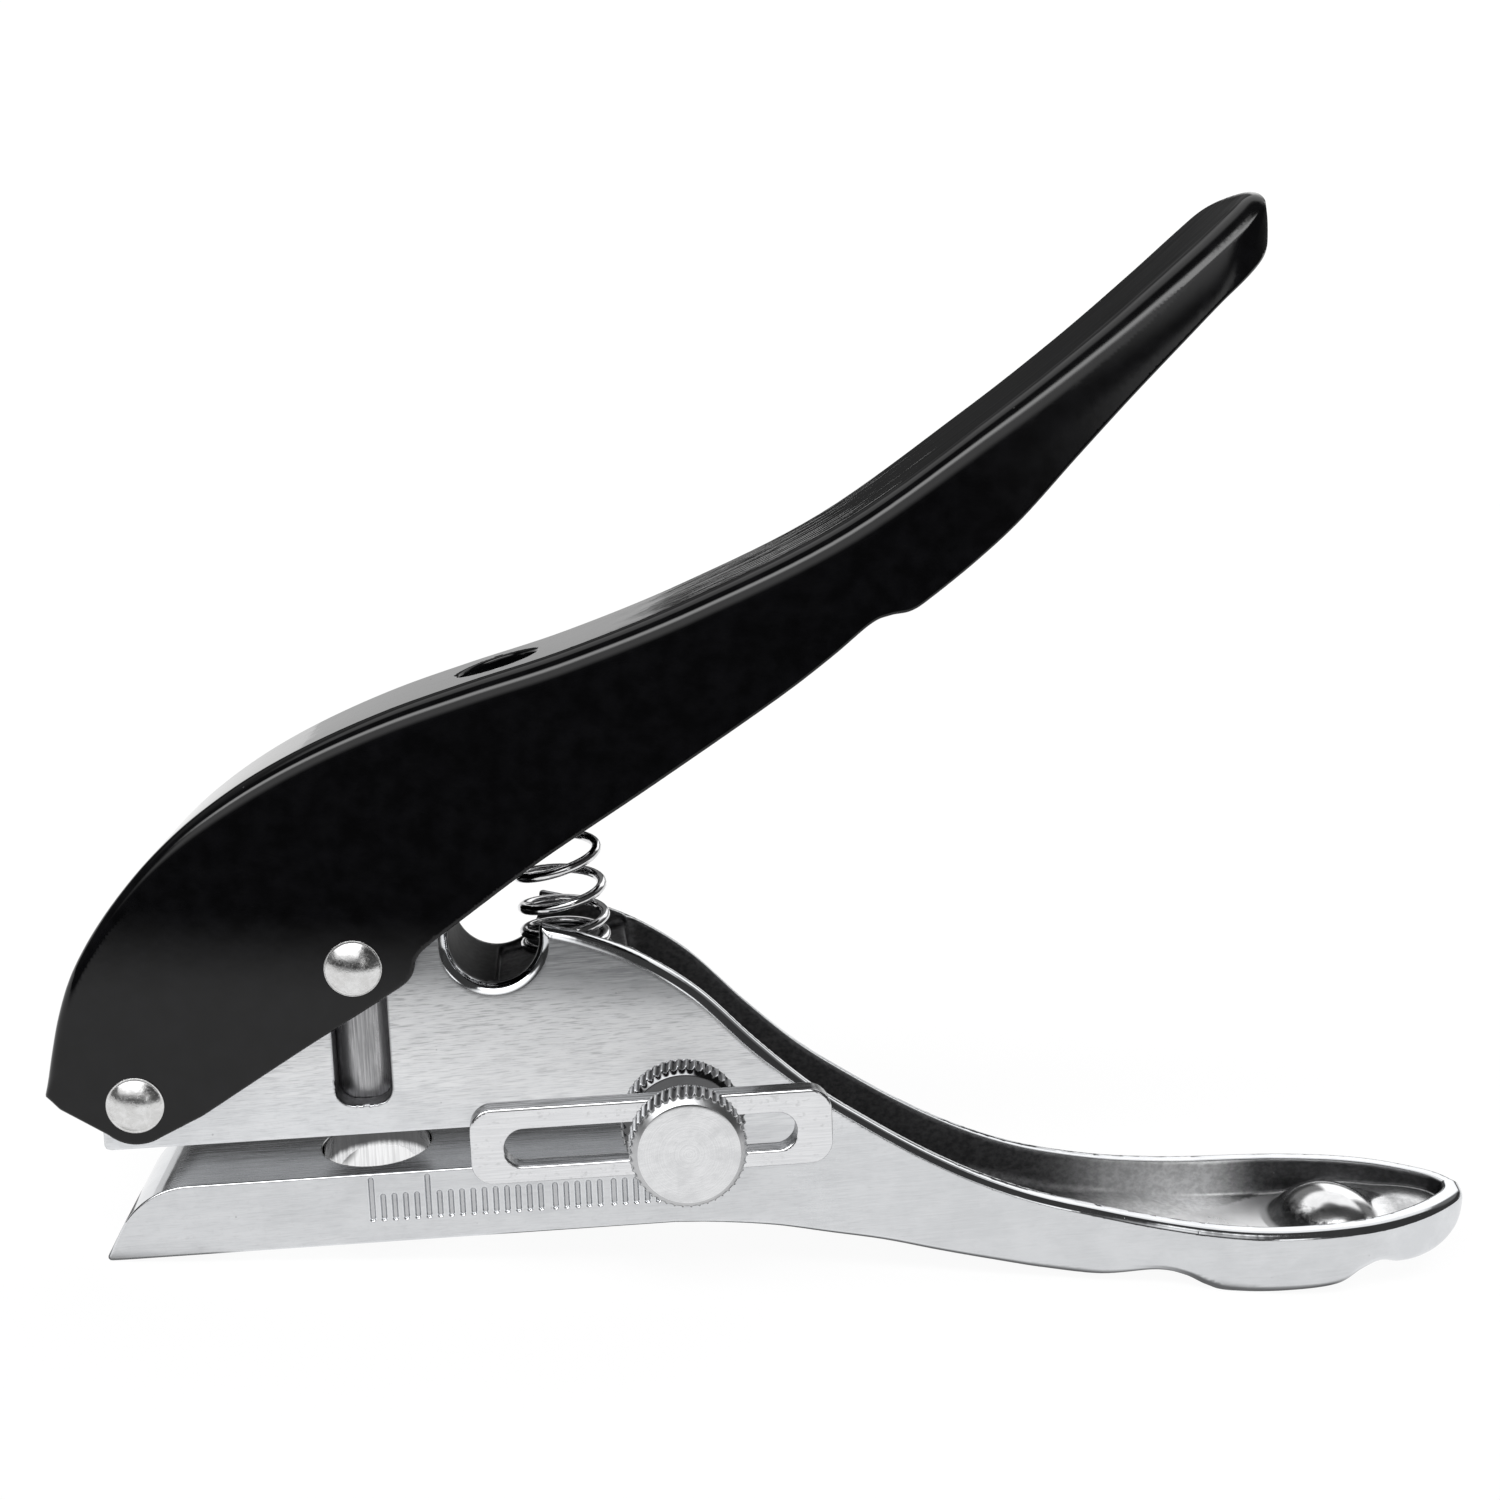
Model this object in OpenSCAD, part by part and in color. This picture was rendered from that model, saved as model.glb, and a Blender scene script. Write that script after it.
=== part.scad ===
// Hand-held single hole punch: a plated casting with a jaw, a head and a
// hollow lower handle, and a pressed steel lever that drives the punch.
// Everything is drawn with the jaw level: x runs from the nose to the handle,
// y across the jaw, z up, and the origin is the hole's centre on the jaw's top.
// place() then stands the tool on its nose and on the pad under the handle.

/* [Base casting] */
// Width of the jaw and the head across their two sides
base_w = 13.6; // [13.2:0.1:13.6]
// Thickness of the jaw under the paper
jaw_t = 6.6; // [6.2:0.1:6.8]
// Height of the throat that takes the paper
throat_h = 3.7; // [3.2:0.1:3.8]
// Distance from the hole's centre to the end of the throat
throat_reach = 25; // [24:0.5:25]
// Thickness of the side walls of the hollow handle
channel_wall = 1.8; // [1.5:0.1:2]
// Radius of the round notch behind the head
notch_r = 4; // [3.8:0.1:4]

/* [Punch and die] */
// Radius of the die hole and of the bore that guides the punch
die_r = 5; // [4.6:0.05:5]
// Running gap between the punch and its bore, on the radius
punch_gap = 0.05; // [0.03:0.01:0.08]
// Height of the punch's cutting edge above the jaw when the lever is up
punch_up = 4; // [3.9:0.1:4.2]
// Length of the punch
punch_len = 20; // [19:0.5:21]
// Width of the upright slot that guides the drive pin
slot_w = 4.9; // [4.85:0.05:5]
// Height of that slot's foot above the jaw's top
slot_foot = 6.5; // [6:0.1:7]
// Radius of the corners at that slot's foot
slot_corner = 1.5; // [1:0.1:2]

/* [Lever] */
// Outer width of the lever
lever_w = 16.6; // [16.6:0.1:17]
// Thickness of the lever's sheet
lever_t = 1.2; // [1:0.05:1.2]
// Radius of the round hole in the lever above the spring
lever_hole_r = 3.65; // [3.4:0.05:3.8]
// Radius of the rivets' shanks
rivet_r = 1.5; // [1.4:0.05:1.5]
// Radius of the rivets' domed heads
rivet_head_r = 2.5; // [2.4:0.05:2.6]
// Height of the rivets' domed heads
rivet_head_h = 0.9; // [0.7:0.05:1]

/* [Return spring] */
// Outer radius of the spring
spring_r = 4.1; // [4:0.05:4.2]
// Diameter of the spring's wire
wire_d = 0.75; // [0.7:0.05:0.8]
// Turns of the spring
spring_turns = 8; // [7:0.5:9]

/* [Stop] */
// Length of the sliding stop plate
plate_l = 31.4; // [30:0.2:32]
// Height of the sliding stop plate
plate_h = 6.8; // [6.4:0.1:7]
// Thickness of the sliding stop plate
plate_t = 1.8; // [1.6:0.1:1.8]
// Outer radius of the knob in front of the plate
knob_r = 5.1; // [4.8:0.1:5.2]
// Outer radius of the nut behind the plate
nut_r = 5.5; // [5.2:0.1:5.6]
// Radius of the stud that holds them
stud_r = 1.5; // [1.4:0.05:1.5]
// Number of notches in the knob's knurl
knob_knurl_n = 44; // [32:2:46]
// Number of notches in the nut's knurl
nut_knurl_n = 46; // [32:2:50]

/* [Hidden] */
$fn = 48;

// Angle that the jaw rises by when the tool stands, and where the
// hole's centre then sits
stand = 5.47;
stand_at = [-38.115, 2.95, 8.839];

// Pin centres in the level frame
drive = [0, 19.5];
pivot = [-19.5, 8.4];
stud = [27.9, 3.65];

// Depths, measured from the middle plane
half = base_w / 2;
lever_in = lever_w / 2 - lever_t;
lever_out = lever_w / 2;
sleeve_r = slot_w / 2 - 0.1;
pivot_sleeve_r = 2;
run = 0.05;
nut_y0 = half + 0.1;
nut_y1 = nut_y0 + 2.9;
plate_y0 = nut_y1 + 0.1;
plate_y1 = plate_y0 + plate_t;
knob_y0 = plate_y1 + 0.1;
knob_y1 = knob_y0 + 3.3;

// A smooth curve through points chosen by hand
function cr(a, b, c, d, t) = 0.5 * (2 * b + (c - a) * t
    + (2 * a - 5 * b + 4 * c - d) * t * t
    + (3 * b - a - 3 * c + d) * t * t * t);
function curve(p, n) = [for (i = [0 : len(p) - 2]) for (k = [0 : n - 1])
    cr(p[max(i - 1, 0)], p[i], p[i + 1], p[min(i + 2, len(p) - 1)], k / n),
    p[len(p) - 1]];
function arc(c, r, a0, a1, n) = [for (i = [0 : n])
    let (a = a0 + (a1 - a0) * i / n) c + r * [cos(a), sin(a)]];
function side(p, i) = let (d = p[min(i + 1, len(p) - 1)] - p[max(i - 1, 0)])
    [-d[1], d[0]] / norm(d);
function beside(p, d) = [for (i = [0 : len(p) - 1]) p[i] + d * side(p, i)];
function flip(p) = [for (i = [len(p) - 1 : -1 : 0]) p[i]];
function mirror_y(p) = [for (q = p) [q[0], -q[1]]];

// Top edge of the hollow handle, from the notch to the end
rim = curve([[16.6, 21.6], [20, 20.6], [25, 18.4], [30, 14.9], [35, 9.8],
             [40, 5.2], [45, 1.6], [50, -1.6], [55, -4.3], [60, -6.4],
             [65, -7.9], [72, -9.5], [80, -10.6], [90, -10.9], [98, -10.9],
             [105, -11.2]], 3);
// Underside of the handle, from the end to the jaw
belly = curve([[105, -11.8], [103.6, -12.4], [102.6, -13.5], [101.5, -14.4],
               [99.5, -15.1], [96.5, -15.4], [94, -15.2], [92, -14.7],
               [90, -15.2], [87.5, -16.3], [82.5, -16.5], [77.5, -16.3],
               [75.5, -15.7], [73.5, -14.7], [71, -14.2], [66, -14.5],
               [61, -13.7], [56, -12.5], [51, -11.2], [46, -9.8],
               [41, -8.7], [36, -7.6], [31, -6.9], [27, -jaw_t]], 2);
// Half width of the handle, seen from above
handle_end = 103.5;
handle_half = curve([[58, half], [64, half + 0.1], [70, half + 0.7],
                     [76, half + 1.5], [82, half + 2], [88, half + 1.8],
                     [93, half + 0.9], [97.2, half - 0.7], [100.5, half - 2.7],
                     [102.6, half - 4.6], [handle_end, 0]], 3);
// Floor of the hollow, from behind the spring's seat to the end
hollow = curve([[24, 12], [27, 8.6], [31, 5], [36, 1], [41, -2.3], [46, -5],
                [51, -7.4], [56, -9.3], [61, -10.7], [66, -11.7],
                [72, -12.6], [78, -13.8], [84, -14.2], [89, -14],
                [93, -13], [98, -12.8], [101.3, -12.4]], 2);
// Outer line of the lever's web, from its front lip to its tip
web = curve([[-27.2, 9.6], [-26.4, 13.2], [-25.5, 16.6], [-24.2, 20],
             [-22.2, 23.4], [-19.6, 26.8], [-16.5, 30.1], [-12.8, 33.2],
             [-8, 36.3], [-2.5, 39], [4, 41.5], [11, 43.6], [20, 46.1],
             [31, 50], [44, 55.8], [57, 64.3], [65.6, 70.5], [72.4, 75.9],
             [77, 79.6], [80, 81.7], [81.4, 82], [82.2, 81.2],
             [82.5, 79.8]], 2);
// Lower edge of the lever's walls, from the tip to the front lip
skirt = concat(curve([[82.2, 78], [80.8, 76.6], [78.2, 74.9], [76, 73],
                      [73, 70.1], [68.2, 65.4], [63.5, 60.6], [58.8, 55.7],
                      [55, 52.4], [51, 49.4], [49.2, 48.3], [47.4, 48],
                      [45.6, 47.3], [42, 44.5], [37, 41], [26.4, 34.3],
                      [16.6, 28.3], [10, 23.8], [6.3, 21.2], [5.2, 20],
                      [4.6, 18.4], [2.6, 17], [-5, 12.6], [-14, 7.2]], 2),
               arc(pivot, 3.4, 300, 225, 6), [[-25.8, 8.6], [-26.4, 9.3]]);

// Level frame to standing frame
module place() { translate(stand_at) rotate([0, -stand, 0]) children(); }
// A flat drawing in x and z, thickened from depth y0 to depth y1
module slab(y0, y1) { translate([0, y1, 0]) rotate([90, 0, 0]) linear_extrude(y1 - y0) children(); }
// A round bar across the tool at p = [x, z]
module bar(p, r, y0, y1) { translate([p[0], y1, p[1]]) rotate([90, 0, 0]) cylinder(r = r, h = y1 - y0); }
// A domed rivet head on the plane y = 0, standing out to -y
module dome(p) {
    s = (rivet_head_r * rivet_head_r + rivet_head_h * rivet_head_h) / (2 * rivet_head_h);
    translate([p[0], 0, p[1]]) intersection() {
        translate([0, s - rivet_head_h, 0]) sphere(r = s, $fn = 64);
        rotate([90, 0, 0]) cylinder(r = rivet_head_r, h = rivet_head_h + 1);
    }
}
module rivet(p, reach) {
    bar(p, rivet_r, -reach, reach);
    for (s = [1, -1]) scale([1, s, 1]) translate([0, -lever_out, 0]) dome(p);
}

// Outline of the casting from the side
module base_side() {
    polygon(concat(
        [[-23.8, -jaw_t]], arc([-16, -7], 7, 152, 90, 8),
        arc([throat_reach - 1, 1], 1, 270, 360, 4),
        arc([throat_reach - 1, throat_h - 1], 1, 0, 90, 4),
        [[-22.9, throat_h], [-22.9, 12], [-13, 20.5], [-9, 22.4], [8.1, 22.4]],
        arc([8.1 + notch_r, 20.6], notch_r, 180, 360, 16),
        [[8.1 + 2 * notch_r, 21.6]], rim, belly));
}
// Outline of the casting from above, and of its hollow
module base_plan(inset) {
    p = inset == 0 ? handle_half : beside(handle_half, -inset);
    q = [for (i = [0 : len(p) - 2]) p[i]];
    end = [handle_end - inset, 0];
    polygon(concat([[-40, -(half - inset)]], mirror_y(q), [end], flip(q), [[-40, half - inset]]));
}
// Marks of the scale, a millimetre apart: the first and the sixth are long
module scale_marks() {
    for (k = [0 : 25]) {
        x = k + (k > 15 ? 0.3 : 0) + (k > 20 ? 0.25 : 0);
        top = k == 0 || k == 5 ? -0.6 : -2.2;
        translate([x, -4.3]) circle(r = 0.22, $fn = 16);
        translate([x, top]) circle(r = 0.22, $fn = 16);
        translate([x - 0.22, -4.3]) square([0.44, 4.3 + top]);
    }
}

module base_frame() {
    color([0.83, 0.84, 0.86]) place() difference() {
        union() {
            difference() {
                intersection() {
                    slab(-12, 12) base_side();
                    translate([0, 0, -20]) linear_extrude(60) base_plan(0);
                }
                // hollow of the handle, open at the top
                intersection() {
                    slab(-12, 12) polygon(concat(hollow, [[101.3, 30], [24, 30]]));
                    translate([0, 0, -20]) linear_extrude(60) base_plan(channel_wall);
                }
                // seat of the spring, open towards the notch
                slab(-half + channel_wall, half - channel_wall)
                    polygon([[12.1, 15.7], [24.1, 18.1], [24.1, 30], [12.1, 30]]);
            }
            // low peg inside the spring
            translate([19.2, 0, 16.6]) rotate([0, -11.2, 0]) cylinder(r = 2.8, h = 2.2);
            // bosses on the hollow's floor
            intersection() {
                translate([0, 0, -14.6]) cylinder(r = handle_end, h = 30);
                union() {
                    translate([90.5, 0, -16.8]) sphere(r = 6);
                    translate([97.8, 0, -17.9]) sphere(r = 5.6);
                }
                translate([0, 0, -20]) linear_extrude(60) base_plan(channel_wall / 2);
            }
        }
        // die hole, guide bore and the slot of the drive pin
        translate([0, 0, -10]) cylinder(r = die_r, h = 40);
        for (s = [-1, 1]) bar([s * (slot_w / 2 - slot_corner), slot_foot + slot_corner], slot_corner, -12, 12);
        slab(-12, 12) translate([-slot_w / 2, slot_foot + slot_corner]) square([slot_w, 30]);
        slab(-12, 12) translate([slot_corner - slot_w / 2, slot_foot]) square([slot_w - 2 * slot_corner, 10]);
        // open slot in which the pivot pin floats
        bar(pivot, pivot_sleeve_r + 0.3, -12, 12);
        slab(-12, 12) translate([-40, pivot[1] - pivot_sleeve_r - 0.3])
            square([40 + pivot[0], 2 * pivot_sleeve_r + 0.6]);
        // hole of the stud
        bar(stud, stud_r, -20, 2);
        // scale
        slab(-20, -half + 0.15) scale_marks();
    }
}

module lever_shell() {
    tip = curve([[75, lever_out], [77.5, lever_out - 0.5], [79.6, lever_out - 1.8],
                 [81.2, lever_out - 3.8], [82.1, lever_out - 6], [82.5, 0]], 3);
    tip_in = [for (i = [0 : len(tip) - 4]) tip[i] - [lever_t, lever_t]];
    inner = beside(web, -lever_t);
    color([0.03, 0.03, 0.035]) place() difference() {
        intersection() {
            slab(-12, 12) polygon(concat(web, skirt));
            translate([0, 0, -20]) linear_extrude(120)
                polygon(concat([[-40, -lever_out]], mirror_y([for (i = [0 : len(tip) - 2]) tip[i]]),
                               flip(tip), [[-40, lever_out]]));
        }
        intersection() {
            slab(-lever_in, lever_in)
                polygon(concat([for (i = [0 : len(web) - 9]) inner[i]],
                               [[79.8, 80.1], [80.7, 80.3], [81.1, 79.5], [81.2, 78.4],
                                [81, 70], [60, 40], [20, 0], [-25.9, -5]]));
            translate([0, 0, -20]) linear_extrude(120)
                polygon(concat([[-40, -lever_in]], mirror_y(tip_in), [[82.5 - lever_t, 0]],
                               flip(tip_in), [[-40, lever_in]]));
        }
        bar(drive, rivet_r, -12, 12);
        bar(pivot, rivet_r, -12, 12);
        translate([13.55, 0, 44.3]) rotate([0, -15.6, 0]) translate([0, 0, -6]) cylinder(r = lever_hole_r, h = 12);
    }
}

module punch() {
    color([0.72, 0.73, 0.75]) place() difference() {
        translate([0, 0, punch_up]) cylinder(r = die_r - punch_gap, h = punch_len);
        bar(drive, sleeve_r, -10, 10);
        // hollow-ground end, so that the edge shears from both sides
        bar([0, punch_up - 18.6], 19.5, -10, 10);
    }
}

module drive_sleeve() {
    color([0.66, 0.67, 0.69]) place() difference() {
        bar(drive, sleeve_r, -half, half);
        bar(drive, rivet_r + run, -10, 10);
    }
}

module drive_rivet() { color([0.82, 0.82, 0.83]) place() rivet(drive, lever_out); }

module pivot_sleeve() {
    color([0.66, 0.67, 0.69]) place() difference() {
        bar(pivot, pivot_sleeve_r, -lever_in, lever_in);
        bar(pivot, rivet_r, -10, 10);
    }
}

module pivot_rivet() { color([0.82, 0.82, 0.83]) place() rivet(pivot, lever_out); }

// Coil with its two end turns laid close
module return_spring() {
    foot = [19.2, 17.35];
    head = [14.15, 42.5];
    long = norm(head - foot) - wire_d;
    mean = spring_r - wire_d / 2;
    steps = floor(spring_turns * 18);
    sides = 8;
    close = wire_d * 1.15;
    free = (long - 2 * close) / (spring_turns - 2);
    function rise(t) = t < 1 ? close * t
        : t > spring_turns - 1 ? long - close * (spring_turns - t)
        : close + free * (t - 1);
    function at(t) = [mean * cos(360 * t), mean * sin(360 * t), wire_d / 2 + rise(t)];
    function ring(t) = let (a = 360 * t, out = [cos(a), sin(a), 0])
        [for (j = [0 : sides - 1]) let (b = 360 * j / sides)
            at(t) + wire_d / 2 * (cos(b) * out + sin(b) * [0, 0, 1])];
    pts = [for (i = [0 : steps]) each ring(i / 18)];
    walls = [for (i = [0 : steps - 1]) for (j = [0 : sides - 1])
        let (a = i * sides + j, b = i * sides + (j + 1) % sides)
        each [[a, b, b + sides], [a, b + sides, a + sides]]];
    ends = [[for (j = [sides - 1 : -1 : 0]) j], [for (j = [0 : sides - 1]) steps * sides + j]];
    lean = atan2(foot[0] - head[0], head[1] - foot[1]);
    color([0.78, 0.79, 0.8]) place() translate([foot[0], 0, foot[1]]) rotate([0, -lean, 0])
        polyhedron(points = pts, faces = [for (f = concat(walls, ends)) flip(f)], convexity = 10);
}

module stop_stud() {
    color([0.7, 0.71, 0.73]) place() bar(stud, stud_r, -knob_y1 + 1, 1.9);
}

// Round body with n notches in its edge, from depth y0 to depth y1 in front
module knurled(r, y0, y1, n) {
    difference() {
        translate([stud[0], -y0, stud[1]]) rotate([90, 0, 0]) union() {
            translate([0, 0, 0.3]) cylinder(r = r, h = y1 - y0 - 0.6);
            cylinder(r = r - 0.4, h = y1 - y0);
        }
        for (i = [0 : n - 1]) translate([stud[0], 0, stud[1]]) rotate([0, i * 360 / n, 0])
            translate([r, -(y0 + y1) / 2, 0]) rotate([0, 45, 0]) cube([0.4, y1 - y0 + 2, 0.4], center = true);
    }
}

module backing_nut() {
    color([0.62, 0.63, 0.65]) place() difference() {
        knurled(nut_r, nut_y0, nut_y1, nut_knurl_n);
        bar(stud, stud_r + run, -30, 0);
    }
}

module thumb_knob() {
    color([0.85, 0.86, 0.87]) place() difference() {
        knurled(knob_r, knob_y0, knob_y1, knob_knurl_n);
        bar(stud, stud_r + run, -knob_y1 + 0.9, 0);
    }
}

module stop_plate() {
    x0 = 9.3;
    z0 = 0.5;
    x1 = x0 + plate_l;
    z1 = z0 + plate_h;
    r = 2;
    slot_r = stud_r + 0.2;
    color([0.84, 0.85, 0.87]) place() difference() {
        slab(-plate_y1, -plate_y0) polygon(concat(
            arc([x0 + r, z0 + r], r, 180, 270, 8), arc([x1 - r, z0 + r], r, 270, 360, 8),
            arc([x1 - r, z1 - r], r, 0, 90, 8), arc([x0 + r, z1 - r], r, 90, 180, 8)));
        bar([12.2 + slot_r, stud[1]], slot_r, -20, 0);
        bar([37.6 - slot_r, stud[1]], slot_r, -20, 0);
        slab(-20, 0) translate([12.2 + slot_r, stud[1] - slot_r]) square([25.4 - 2 * slot_r, 2 * slot_r]);
    }
}

base_frame();
lever_shell();
punch();
drive_sleeve();
drive_rivet();
pivot_sleeve();
pivot_rivet();
return_spring();
stop_stud();
backing_nut();
stop_plate();
thumb_knob();
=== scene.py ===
import math

import bpy
import numpy as np
from mathutils import Matrix, Vector


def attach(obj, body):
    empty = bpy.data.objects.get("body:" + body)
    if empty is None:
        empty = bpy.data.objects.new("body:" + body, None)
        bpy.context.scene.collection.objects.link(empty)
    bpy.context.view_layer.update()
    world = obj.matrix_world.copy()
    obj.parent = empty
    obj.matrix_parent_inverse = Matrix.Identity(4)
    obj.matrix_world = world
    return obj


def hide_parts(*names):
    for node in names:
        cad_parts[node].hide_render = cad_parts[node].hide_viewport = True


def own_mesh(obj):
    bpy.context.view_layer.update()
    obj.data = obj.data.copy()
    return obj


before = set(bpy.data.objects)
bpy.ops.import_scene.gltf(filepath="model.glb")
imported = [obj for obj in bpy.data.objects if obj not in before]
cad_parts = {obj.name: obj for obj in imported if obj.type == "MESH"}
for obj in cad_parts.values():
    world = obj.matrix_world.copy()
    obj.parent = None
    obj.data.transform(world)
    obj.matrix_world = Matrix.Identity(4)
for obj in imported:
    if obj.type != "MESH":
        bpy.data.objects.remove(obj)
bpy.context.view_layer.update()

# ---------------------------------------------------------------------------
# Frames. Shapes are drawn in millimetres with the jaw level: x from the nose
# to the handle, y across (the scale is on -y), z up, origin at the die hole's
# centre on the jaw's top. stood() puts them into the row frame in metres.
# ---------------------------------------------------------------------------
STAND = math.radians(5.47)
CA, SA = math.cos(STAND), math.sin(STAND)
AT = np.array([-38.115, 2.95, 8.839])


def turned(v):
    v = np.asarray(v, float)
    return np.stack([v[..., 0] * CA - v[..., 2] * SA, v[..., 1], v[..., 0] * SA + v[..., 2] * CA], -1)


def stood(p):
    return (turned(p) + AT) / 1000.0


# ---------------------------------------------------------------------------
# Curves and flat distance fields
# ---------------------------------------------------------------------------
def curve(p, n):
    p = np.asarray(p, float)
    out = []
    for i in range(len(p) - 1):
        a, b, c, d = p[max(i - 1, 0)], p[i], p[i + 1], p[min(i + 2, len(p) - 1)]
        for k in range(n):
            t = k / n
            out.append(0.5 * (2 * b + (c - a) * t + (2 * a - 5 * b + 4 * c - d) * t * t + (3 * b - a - 3 * c + d) * t**3))
    out.append(p[-1])
    return np.array(out)


def arc(c, r, a0, a1, n):
    a = np.radians(np.linspace(a0, a1, n + 1))
    return np.stack([c[0] + r * np.cos(a), c[1] + r * np.sin(a)], -1)


def eased(p, r, n=6):
    """One corner p[1] of three points, rounded to radius r."""
    a, b, c = (np.asarray(q, float) for q in p)
    u, v = (a - b) / np.linalg.norm(a - b), (c - b) / np.linalg.norm(c - b)
    half = 0.5 * math.acos(float(np.clip(u @ v, -1, 1)))
    cut = r / math.tan(half)
    s, e = b + u * cut, b + v * cut
    mid = b + (u + v) / np.linalg.norm(u + v) * (r / math.sin(half))
    a0, a1 = math.atan2(*(s - mid)[::-1]), math.atan2(*(e - mid)[::-1])
    turn = (a1 - a0 + math.pi) % (2 * math.pi) - math.pi
    t = a0 + turn * np.linspace(0, 1, n + 1)
    return np.stack([mid[0] + r * np.cos(t), mid[1] + r * np.sin(t)], -1)


class Field:
    """Signed distance to a closed line, negative inside, read with cubic weights."""

    def __init__(self, line, x, z, h=0.2):
        self.x0, self.z0, self.h = x[0], z[0], h
        px = np.arange(x[0], x[1] + h, h)
        pz = np.arange(z[0], z[1] + h, h)
        gx, gz = (g.ravel() for g in np.meshgrid(px, pz, indexing="ij"))
        best = np.full(gx.shape, 1e18)
        inside = np.zeros(gx.shape, bool)
        line = np.asarray(line, float)
        step = np.linalg.norm(line - np.roll(line, -1, 0), axis=1)
        line = line[step > 1e-7]
        for a, b in zip(line, np.roll(line, -1, 0)):
            e = b - a
            wx, wz = gx - a[0], gz - a[1]
            t = np.clip((wx * e[0] + wz * e[1]) / (e @ e), 0, 1)
            best = np.minimum(best, (wx - t * e[0]) ** 2 + (wz - t * e[1]) ** 2)
            if e[1] != 0:
                hit = (a[1] <= gz) != (b[1] <= gz)
                inside ^= hit & (gx < a[0] + wz * (e[0] / e[1]))
        d = np.sqrt(best)
        d[inside] *= -1
        self.d = d.reshape(len(px), len(pz))

    def __call__(self, x, z):
        x, z = np.broadcast_arrays(x, z)
        u = np.clip((x - self.x0) / self.h, 1.0, self.d.shape[0] - 2.001)
        v = np.clip((z - self.z0) / self.h, 1.0, self.d.shape[1] - 2.001)
        i, j = u.astype(int), v.astype(int)
        a, b = u - i, v - j

        def w(t):
            return (0.5 * (-t + 2 * t * t - t**3), 0.5 * (2 - 5 * t * t + 3 * t**3), 0.5 * (t + 4 * t * t - 3 * t**3), 0.5 * (t**3 - t * t))

        wa, wb = w(a), w(b)
        out = 0.0
        for m in range(4):
            out = out + wa[m] * sum(wb[n] * self.d[i + m - 1, j + n - 1] for n in range(4))
        return out


def step01(a, b, v):
    t = np.clip((v - a) / (b - a), 0, 1)
    return t * t * (3 - 2 * t)


def meet(a, b, r):
    """What is inside both a and b, with the edge rounded to radius r."""
    return np.minimum(np.maximum(a, b), -r) + np.hypot(np.maximum(a + r, 0), np.maximum(b + r, 0))


def join(a, b, r):
    """What is inside either, with the inner corner filled to radius r."""
    return -meet(-a, -b, r)


# ---------------------------------------------------------------------------
# Meshes from distance functions
# ---------------------------------------------------------------------------
def lines(*spans):
    """Grid lines from spans (start, end, step), each span going on from the last."""
    out = [spans[0][0]]
    for a, b, h in spans:
        n = max(1, int(round((b - out[-1]) / h)))
        out += list(out[-1] + (b - out[-1]) * np.arange(1, n + 1) / n)
    return np.array(out)


def grid_values(f, xs, ys, zs):
    out = np.empty((len(xs), len(ys), len(zs)), np.float32)
    for i in range(0, len(xs), 24):
        out[i : i + 24] = f(xs[i : i + 24, None, None], ys[None, :, None], zs[None, None, :])
    return out


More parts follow.
